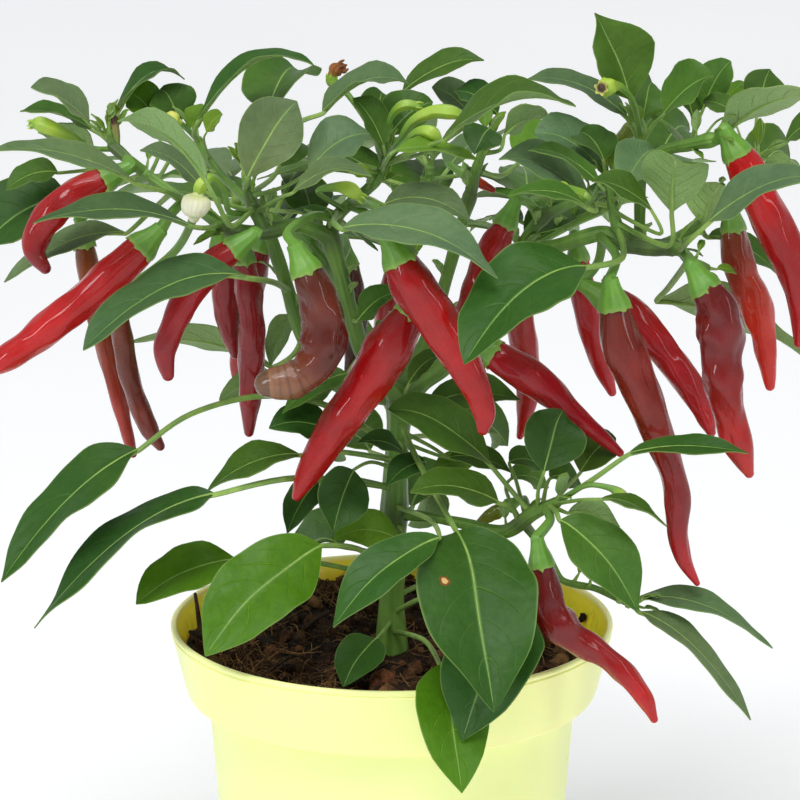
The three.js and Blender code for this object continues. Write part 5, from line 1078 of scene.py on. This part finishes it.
# ---- Peppers, their cups and stalks ----
for order, ((name, node), (spots, ((away_top, away_tip),), (root,), via, looks)) in enumerate(rows_of(PEPPERS)):
    draw = np.random.default_rng(PEPPER_SEED + order)
    last = len(spots) - 1
    middle = np.array([seen(px, py, away_top + (away_tip - away_top) * i / last)
                       for i, (px, py, _) in enumerate(spots)])
    radii = np.array([r / PX_PER_MM for _, _, r in spots])
    back = unit(middle[0] - middle[1])
    small = radii[0] < SMALL_PEPPER
    cup = CUP_LENGTH * (0.6 if small else 1)
    in_cup = PEPPER_IN_CUP * (0.5 if small else 1)

    # the fruit
    shoulder = 0.84 * radii[0]
    path = curve(np.concatenate([[middle[0] + back * (0.5 * in_cup)], middle]), 9)
    size = np.maximum(smooth(np.concatenate([[0.68 * shoulder, shoulder], radii[1:]]), 9), 0.6)
    share = np.linspace(0, 1, len(path))
    lumpy = PEPPER_LUMPS.get(name, 1)
    bumps = sum(draw.uniform(0.4, 1) * np.sin(share * f + draw.uniform(0, 6)) for f in (9, 16, 27, 41))
    size = size * (1 + 0.028 * lumpy * bumps * np.sin(math.pi * share) ** 0.4)
    turn_at = draw.uniform(0, 6, 3)

    def lobes(turns, share):
        slow = 0.035 * np.cos(3 * turns + turn_at[0] + 2.2 * share)
        lump = 0.03 * np.cos(2 * turns + turn_at[1] + 13 * share) + 0.022 * np.cos(5 * turns + turn_at[2] - 19 * share)
        lump = lump + 0.018 * np.cos(turns * 4 + 37 * share + turn_at[0]) + 0.014 * np.cos(7 * turns - 29 * share)
        lump = lump * np.clip(share / 0.18, 0, 1)
        knobs = 0.05 * np.clip(np.cos(5 * turns + turn_at[1]), -0.3, 1) * np.exp(-((share - 0.08) / 0.06) ** 2)
        return 1 + (slow + lump * lumpy) * np.sin(math.pi * np.clip(share, 0.02, 0.98)) ** 0.5 + knobs

    tint = light_of(spread(looks, len(path)))
    brown = np.clip(tint[:, 1:2] / tint[:, :1] / 0.25, 0, 1)
    pink = np.clip(tint[:, 2:] / tint[:, 1:2] - 1.7, 0, 1)
    tint = tint * (np.array([[0.78, 0.1, 0.12]]) * (1 - brown) + np.array([[0.8, 0.56, 0.38]]) * brown)
    tint = tint * (1 + pink * (1 - brown) * np.array([[0.1, 2.4, 1.6]]))
    if name == "pepper_08":
        rings = np.clip(np.cos(share * FULL_TURN * PEPPER_RINGS), 0, 1) ** 3 * np.clip((share - 0.66) / 0.1, 0, 1)
        tint = tint * (1 - 0.5 * rings[:, None])
    fruit = Piece(name + "_fruit", ["pepper", "dry_petal"])
    fruit.tube(path, size, 18 if small else 30, "pepper", tint, lobes)
    fruit.settle(name, "pepper_brown" if name in BROWN_PEPPERS else "pepper_green" if "green" in name else "pepper_red")

    # the cup: a ribbed bell with small points at its edge
    across = any_across(-back)
    third = np.cross(-back, across)
    turns = circle(CUP_SIDES)
    shift = draw.uniform(0, 6)
    points_at = np.clip(np.cos(5 * turns + shift + 0.5 * np.sin(2 * turns + shift)), 0, 1) ** 5
    points_at = points_at * (0.65 + 0.35 * np.sin(3 * turns + 2 * shift)) + 0.10 * np.sin(9 * turns + 3 * shift)
    outer = shoulder + (radii[1] - shoulder) * 0.1 + CUP_MARGIN
    neck = max(0.5 * outer, 0.8 if small else 1.5)
    bell = [(1.02, 0), (0.84, 0.06), (0.66, 0.17), (0.48, 0.34), (0.3, 0.58), (0.14, 0.81), (-0.02, 0.96)]
    profile = [(place, neck + part * (outer - neck)) for place, part in bell]
    profile += [(-0.16, outer + 0.02), (-0.2, outer - 0.12), (-0.15, outer - 0.36), (0.0, outer - 0.6),
                (0.25, 0.8 * outer - 0.5)]
    rings, tints = [], []
    for step, (place, radius) in enumerate(profile):
        at_edge = step in (7, 8)
        ribs = 1 + (0.03 if step < 8 else 0) * np.cos(10 * turns + 2 * shift) * min(1, step / 2)
        reach = place * cup - (points_at * (0.6 if small else 1.1) if at_edge or step == 9 else 0)
        wide = radius * ribs + (points_at * 0.35 if at_edge else 0)
        rings.append(ring(middle[0] + back * (reach * np.ones(CUP_SIDES))[:, None], across, third, turns, wide))
        # painted shade: a darker green in the grooves between the ribs
        deep = (0.5 + 0.5 * np.cos(10 * turns + 2 * shift + math.pi)) * 0.28 * min(1, step / 3)
        tint = blend(light_of(CALYX_GREEN) * draw.uniform(0.92, 1.05), light_of(CALYX_GROOVE_SHADE), deep)
        tints.append(tint * 0.6 + 0.4 * light_of(CALYX_EDGE) if at_edge else tint)
    piece_of(node).skin(rings, "calyx", tints)

    # the stalk
    stalk = [on_stem(node, *root), *[seen(*p) for p in via], middle[0] + back * cup, middle[0] + back * (0.9 * cup)]
    path = curve(stalk, 10)
    length = length_of(path)
    share = np.linspace(0, 1, len(path))
    thin = 0.75 if small else 1.12
    rise = np.clip(1 - (1 - share) * length / (2.4 * cup), 0, 1) ** 1.7
    size = thin * (1 + 0.25 * share) + 0.45 * thin * np.exp(-share * length / 2.2) + (neck - 1.25 * thin) * rise
    piece_of(node).tube(path, size, 14, "calyx", blend(light_of(STEM_GREEN), light_of(CALYX_GREEN), share),
                        ridged(5, 0.09, shift))

# ---- Buds and small green parts ----
for order, ((name, node), ((root,), points)) in enumerate(rows_of(BUDS)):
    draw = np.random.default_rng(BUD_SEED + order)
    target = piece_of(node)
    fine = curve([on_stem(node, *root), *[seen(*p[:3]) for p in points]], 8)
    size = np.maximum(smooth([0.8, *[p[3] for p in points]], 8), 0.5)
    tint = blend(light_of(STEM_GREEN), light_of(CALYX_GREEN), np.linspace(0, 1, len(fine)))
    tint = blend(tint, light_of(BUD_GREEN), np.clip((size - 0.9) / 1.0, 0, 1))
    target.tube(fine, size, 16, "calyx", tint, ridged(5, 0.10, draw.uniform(0, 6)))
    ahead, across = (v[-1] for v in carried(fine))
    if name == "open_cup":
        turns = circle(STAR_SIDES)
        star = 0.5 + 0.5 * np.cos(6 * turns)
        rings = [ring(fine[-1] + ahead * (reach + 0.9 * size[-1]), across, np.cross(ahead, across), turns,
                      0.72 * (radius + point * (star - 0.5) * 1.6)) for reach, radius, point, _ in OPEN_CUP]
        target.skin(rings, "calyx", np.repeat([light_of(colour) for *_, colour in OPEN_CUP], STAR_SIDES, 0))
    elif not name.endswith("_pedicel") or name == "dried_pedicel":
        for k in range(5):
            side = spoke(ahead, across, FULL_TURN * k / 5)
            start = fine[-1] - ahead * 0.6 + side * size[-1] * 0.75
            end = start + ahead * 1.9 + side * 0.35
            target.tube(arched(start, end, side * 0.25, 4), np.linspace(0.5, 0.12, 9), 8, "calyx", light_of(BUD_GREEN))

# ---- Petals ----
for name, (points, looks, material, count, depth) in FLOWERS.items():
    path = curve([seen(*p[:3]) for p in points], 8)
    size = smooth([p[3] for p in points], 8)
    if material == "petal":
        size = size.max() * np.sqrt(1 - 0.84 * (2 * np.linspace(0, 1, len(size)) - 1) ** 2)
    flower = Piece(name + "_petals", ["petal", "dry_petal"])
    flower.tube(path, size, 40, material, light_of(spread(looks, len(path))),
                lambda turns, share: 1 - depth * np.abs(np.cos(count / 2 * turns + 3.5 * share)) ** 9)
    if material == "dry_petal":
        ahead, across = (v[-1] for v in carried(path))
        for k in range(6):
            side = spoke(ahead, across, FULL_TURN * k / 6 + 0.4)
            start = path[-4] + side * 0.8
            end = path[-1] + side * (1.7 + 0.4 * math.sin(5 * k)) + ahead * (0.8 + 0.5 * math.cos(3 * k))
            flower.tube(arched(start, end, side * 0.4, 5), np.linspace(0.7, 0.3, 11), 10, material,
                        light_of(PETAL_DRY), flat=0.4)
    flower.settle(name, material)

for node, piece in pieces.items():
    piece.settle(node, "foliage")


# ---- Pot: a fine lathe with rounded lip, ribs inside the collar and soil dust ----
def arc(x, z, radius, start, end, steps):
    return [(x + radius * math.cos(a), z + radius * math.sin(a)) for a in np.linspace(start, end, steps) * DEG]


lean = (RIM_RADIUS - COLLAR_LOW_RADIUS) / (COLLAR_HEIGHT - 3)
slope = (BODY_TOP_RADIUS - BASE_RADIUS) / COLLAR_LOW_Z
outside = [
    (0.5, 0), (20, 0), (BASE_RADIUS - 1.6, 0), *arc(BASE_RADIUS - 1.6, 1.2, 1.2, -70, 0, 5),
    *[(BASE_RADIUS - 0.4 + slope * z, z) for z in np.linspace(6, COLLAR_LOW_Z - 4, 8)],
    (BODY_TOP_RADIUS - 0.05, COLLAR_LOW_Z - 1.2), *arc(BODY_TOP_RADIUS + 1.0, COLLAR_LOW_Z - 1.1, 1.0, 180, 92, 5),
    (COLLAR_LOW_RADIUS - 1.4, COLLAR_LOW_Z - 0.05), *arc(COLLAR_LOW_RADIUS - 1.1, COLLAR_LOW_Z + 1.15, 1.2, -80, 0, 5),
    *[(COLLAR_LOW_RADIUS + 0.05 + lean * (z - COLLAR_LOW_Z) * 0.9, z)
      for z in np.linspace(COLLAR_LOW_Z + 3, POT_HEIGHT - 2.3, 8)],
    (RIM_RADIUS - 0.62, POT_HEIGHT - 1.9), (RIM_RADIUS - 0.32, POT_HEIGHT - 1.6),
    *arc(RIM_RADIUS - 0.85, POT_HEIGHT - 0.85, 0.85, -30, 165, 12),
]
inside = [
    (RIM_RADIUS - POT_WALL - 0.1, POT_HEIGHT - 1.7),
    *[(COLLAR_LOW_RADIUS - POT_WALL + lean * (z - COLLAR_LOW_Z - 2.6), z)
      for z in np.linspace(POT_HEIGHT - 3, COLLAR_LOW_Z + 3, 12)],
    (BODY_TOP_RADIUS - POT_WALL, COLLAR_LOW_Z + 1.2), (BASE_RADIUS - POT_WALL, POT_FLOOR), (0.5, POT_FLOOR),
]
turns = circle(POT_SIDES)
rings, blades = [], []
for step, (radius, z) in enumerate(outside + inside):
    inner = step >= len(outside)
    ribbed = inner and COLLAR_LOW_Z + 3 < z < POT_HEIGHT - 3.2
    wide = radius + (-0.42 * np.clip(np.cos(90 * turns), 0, 1) ** 2 if ribbed else 0)
    rings.append(np.stack([wide * np.cos(turns), wide * np.sin(turns), np.full(POT_SIDES, z)], 1))
    dust = np.clip((SOIL_EDGE_Z + 5 - z) / 5, 0, 1) if inner else 0
    # the first share marks the inside, which the material paints with the glow of light through the wall; the second is
    # soil dust
    blades.append(np.tile([1.0 if inner else 0.0, dust, 0], (POT_SIDES, 1)))
pot = Piece("pot_shell", ["pot"])
pot.skin(rings, "pot", (1, 1, 1), blades)
pot.settle("pot", "pot_plastic")

# ---- Soil: a rough mound, crumbs, fibres and twigs ----
soil = Piece("soil_fill", ["soil"])
draw = np.random.default_rng(SOIL_SEED)
WAVES = ((0.9, 0.09, 1.2, 0.4), (0.6, 0.21, 4.0, 2.2), (0.35, 0.47, 2.0, 5.1), (0.22, 0.93, 0.3, 3.3))


def ground(x, y):
    """The height of the soil's surface: heaped at the back left, low at the right, above the step of the pot."""
    r = np.hypot(x, y)
    rise = SOIL_EDGE_Z + (SOIL_MIDDLE_Z - SOIL_EDGE_Z) * (1 - np.clip(r / 60, 0, 1) ** 2)
    waves = sum(a * np.sin(f * x + p) * np.cos(f * 1.1 * y + q) for a, f, p, q in WAVES)
    heap = 5.5 * np.clip((-0.5 * x + 0.85 * y) / 60, 0, 1) ** 0.8 - 7 * np.clip((0.9 * x + 0.3 * y - 18) / 42, 0, 1)
    return np.maximum(rise + waves + heap * np.clip(r / 30, 0, 1) - 0.3, COLLAR_LOW_Z + 3.3 + 0.3 * waves)


edge = COLLAR_LOW_RADIUS - POT_WALL + 2.0
R, A = np.meshgrid(np.linspace(0.02, 1, 64) ** 0.9 * edge, circle(SOIL_SIDES), indexing="ij")
X, Y = R * np.cos(A), R * np.sin(A)
Z = ground(X, Y) + draw.uniform(-0.35, 0.35, X.shape) * (R > 2)
rings = np.stack([X, Y, Z], 2)
ledge = rings[-1] * np.array([0.85, 0.85, 1]) - np.array([0, 0, 1.6])
low = ledge * np.array([0.97, 0.97, 1]) - np.array([0, 0, 12])
under = [low * np.array([0.8, 0.8, 1]) - np.array([0, 0, 60]), low, ledge]
patch = np.clip(0.75 + 0.5 * np.sin(0.13 * X + 1) * np.cos(0.17 * Y), 0.5, 1.4)
patch = np.concatenate([np.ones((len(under), SOIL_SIDES)), patch[::-1]])
soil.skin(np.concatenate([under, rings[::-1]]), "soil", light_of(SOIL_DARK) * patch[..., None])


def ball_mesh():
    """An icosahedron cut once: points and triangles."""
    g = (1 + 5 ** 0.5) / 2
    points = [(-1, g, 0), (1, g, 0), (-1, -g, 0), (1, -g, 0), (0, -1, g), (0, 1, g), (0, -1, -g), (0, 1, -g),
              (g, 0, -1), (g, 0, 1), (-g, 0, -1), (-g, 0, 1)]
    faces = [(0, 11, 5), (0, 5, 1), (0, 1, 7), (0, 7, 10), (0, 10, 11), (1, 5, 9), (5, 11, 4), (11, 10, 2),
             (10, 7, 6), (7, 1, 8), (3, 9, 4), (3, 4, 2), (3, 2, 6), (3, 6, 8), (3, 8, 9), (4, 9, 5), (2, 4, 11),
             (6, 2, 10), (8, 6, 7), (9, 8, 1)]
    points = [unit(np.array(p, float)) for p in points]
    known, cut = {}, []

    def between(a, b):
        key = (min(a, b), max(a, b))
        if key not in known:
            known[key] = len(points)
            points.append(unit(points[a] + points[b]))
        return known[key]

    for a, b, c in faces:
        ab, bc, ca = between(a, b), between(b, c), between(c, a)
        cut += [(a, ab, ca), (b, bc, ab), (c, ca, bc), (ab, bc, ca)]
    return np.array(points), np.array(cut)


ball_points, ball_faces = ball_mesh()


def lump(rough):
    return ball_points * (1 + rough * draw.uniform(-1, 1, (len(ball_points), 1)))


def any_of(colours):
    return light_of(colours[draw.integers(len(colours))])


for i in range(CRUMB_COUNT):
    radius = 0.35 + 2.6 * draw.random() ** 4.5
    where = edge * 0.965 * math.sqrt(draw.random())
    if where + radius > edge - 0.6:
        where = edge - 0.8 - radius
    turn = draw.uniform(0, FULL_TURN)
    x, y = where * math.cos(turn), where * math.sin(turn)
    if math.hypot(x - 1, y) < STEM_GAP:
        continue
    shape = lump(0.34)
    spin, _ = np.linalg.qr(draw.normal(size=(3, 3)))
    shape = (shape * draw.uniform(0.75, 1.2, 3)) @ spin.T * radius
    centre = np.array([x, y, ground(x, y) + radius * draw.uniform(-0.1, 0.5)])
    if where > STEP_NEAR:
        centre[2] = max(centre[2], COLLAR_LOW_Z + 1.0 - shape[:, 2].min())
    faces = ball_faces if np.linalg.det(spin) > 0 else ball_faces[:, ::-1]
    soil.add(centre + shape, any_of(CRUMB_COLOURS), None, (faces, "soil"))


def sighted(px, py, aways, miss):
    """Of the places seen at a pixel, the one with the smallest miss."""
    return min((seen(px, py, away) for away in aways), key=lambda p: abs(miss(*p)))


for px, py, radius, colour in CRUMBS:
    shape = lump(0.26) * radius
    place = sighted(px, py, np.linspace(-62, 62, 249), lambda x, y, z: z - ground(x, y))
    soil.add(place + shape, light_of(colour), None, (ball_faces, "soil"))
# a few crumbs that stick to the inside of the collar, which leans out
stuck = sighted(*STUCK_CRUMBS, np.linspace(2, 40, 77),
                lambda x, y, z: math.hypot(x, y) - COLLAR_INSIDE - COLLAR_LEAN * (z - COLLAR_LOW_Z - 2.6))
for k in range(5):
    shape = lump(0.3) * draw.uniform(0.6, 1.1)
    soil.add(stuck + draw.uniform(-0.7, 0.7, 3) + shape, light_of(STUCK_COLOUR), None, (ball_faces, "soil"))
for i in range(FIBRE_COUNT):
    if i < LOOSE_FIBRES:
        where = (edge - 5) * math.sqrt(draw.random())
        turn = draw.uniform(0, FULL_TURN)
        x, y = where * math.cos(turn), where * math.sin(turn)
        lifted = draw.uniform(0.2, 2.2)
    else:
        tx, ty, wide = TUFTS[i % len(TUFTS)]
        x, y = tx + wide * 0.55 * draw.normal(), ty + wide * 0.55 * draw.normal()
        lifted = draw.uniform(0.6, 4.5)
    if math.hypot(x, y) > edge - 4 or math.hypot(x - 1, y) < STEM_GAP + 0.5:
        continue
    heading = draw.uniform(0, FULL_TURN)
    length = draw.uniform(4, 17)
    bend = draw.uniform(-0.9, 0.9)
    points = []
    for k in range(5):
        points.append((x, y, ground(x, y) + 0.25 + lifted * math.sin(math.pi * k / 4)))
        x += math.cos(heading) * length / 4
        y += math.sin(heading) * length / 4
        heading += bend * 0.5
        if math.hypot(x, y) > edge - 1.2:
            heading += 2.0
            x *= 0.97
            y *= 0.97
    points = np.array(points)
    if np.hypot(points[:, 0], points[:, 1]).max() > edge - 0.8:
        continue
    thin = draw.uniform(0.07, 0.19)
    soil.tube(curve(points, 3), np.full(13, thin), 5, "soil", any_of(FIBRE_COLOURS), rounded=False)
for start, end, radius in TWIGS:
    a, b = seen(*start), seen(*end)
    a[2] = max(min(a[2], SOIL_EDGE_Z + 0.8), ground(a[0], a[1]) + 0.4)
    soil.tube(arched(a, b, 0.8 * UP, 6), np.linspace(radius, 0.6 * radius, 13), 9, "soil", light_of(WOOD),
              ridged(3, 0.12, radius))
soil.settle("soil", "soil")

# ---- Floor, light and camera ----
scene = bpy.context.scene
FLOOR_REACH = 6.0
FLOOR_DROP = 0.0003
floor_mesh = bpy.data.meshes.new("floor")
floor_mesh.from_pydata([(x * FLOOR_REACH, y * FLOOR_REACH, 0) for x, y in ((-1, -1), (1, -1), (1, 1), (-1, 1))], [],
                       [(0, 1, 2, 3)])
floor_mesh.materials.append(floor_stuff())
floor = bpy.data.objects.new("floor", floor_mesh)
floor.location.z = -FLOOR_DROP
scene.collection.objects.link(floor)

scene.view_settings.view_transform = "Standard"
SKY_FRONT = 0.22
SKY_BACK = 0.62
SKY_HORIZON = 0.93
SKY_TOP = 0.42
world = bpy.data.worlds.new("studio")
scene.world = world
world.use_nodes = True
sky = world.node_tree
heading = sky.nodes.new("ShaderNodeTexCoord")
part = sky.nodes.new("ShaderNodeSeparateXYZ")
sky.links.new(heading.outputs["Generated"], part.inputs[0])


def sky_range(value, *limits):
    node = sky.nodes.new("ShaderNodeMapRange")
    sky.links.new(value, node.inputs[0])
    for socket, limit in zip(list(node.inputs)[1:], limits):
        if isinstance(limit, float):
            socket.default_value = limit
        else:
            sky.links.new(limit, socket)
    return node.outputs[0]


wall = sky_range(part.outputs[1], -1.0, 1.0, SKY_FRONT, SKY_BACK)
low_wall = sky_range(part.outputs[2], 0.02, 0.3, SKY_HORIZON, wall)
bright = sky_range(part.outputs[2], 0.25, 0.8, low_wall, SKY_TOP)
sky.links.new(bright, sky.nodes["Background"].inputs[1])
sky.nodes["Background"].inputs[0].default_value = (0.965, 0.985, 1, 1)


def placed(name, data, place, rotation):
    thing = bpy.data.objects.new(name, data)
    thing.location = place
    thing.rotation_euler = rotation
    scene.collection.objects.link(thing)
    return thing


TARGET_Z = 0.2
# name, place, size and power of the soft lights
for name, place, size, power in (("key", (-0.12, -0.75, 1.3), (0.5, 0.25), 3.8),
                                 ("window", (0.95, -0.8, 0.75), (0.13, 0.7), 2.0),
                                 ("strip", (-0.8, -0.8, 0.75), (0.2, 0.45), 3.4)):
    data = bpy.data.lights.new(name, "AREA")
    data.shape = "RECTANGLE"
    data.size, data.size_y = size
    data.energy = power
    placed(name, data, place, (math.atan2(math.hypot(place[0], place[1]), place[2] - TARGET_Z), 0,
                               math.atan2(place[0], -place[1])))
sun = bpy.data.lights.new("overhead", "SUN")
sun.energy = 1.3
sun.angle = 38 * DEG
placed("overhead", sun, (0, 0, 0), (24 * DEG, -7 * DEG, 0))

lens = bpy.data.cameras.new("camera")
lens.sensor_width = 36
lens.lens = lens.sensor_width * FOCAL_PX / FRAME_PX
scene.camera = placed("camera", lens, tuple(VIEWER * MM), (math.pi / 2 - PITCH, 0, 0))


def corners(box):
    return [[round(float(v), 6) for v in corner] for corner in box]
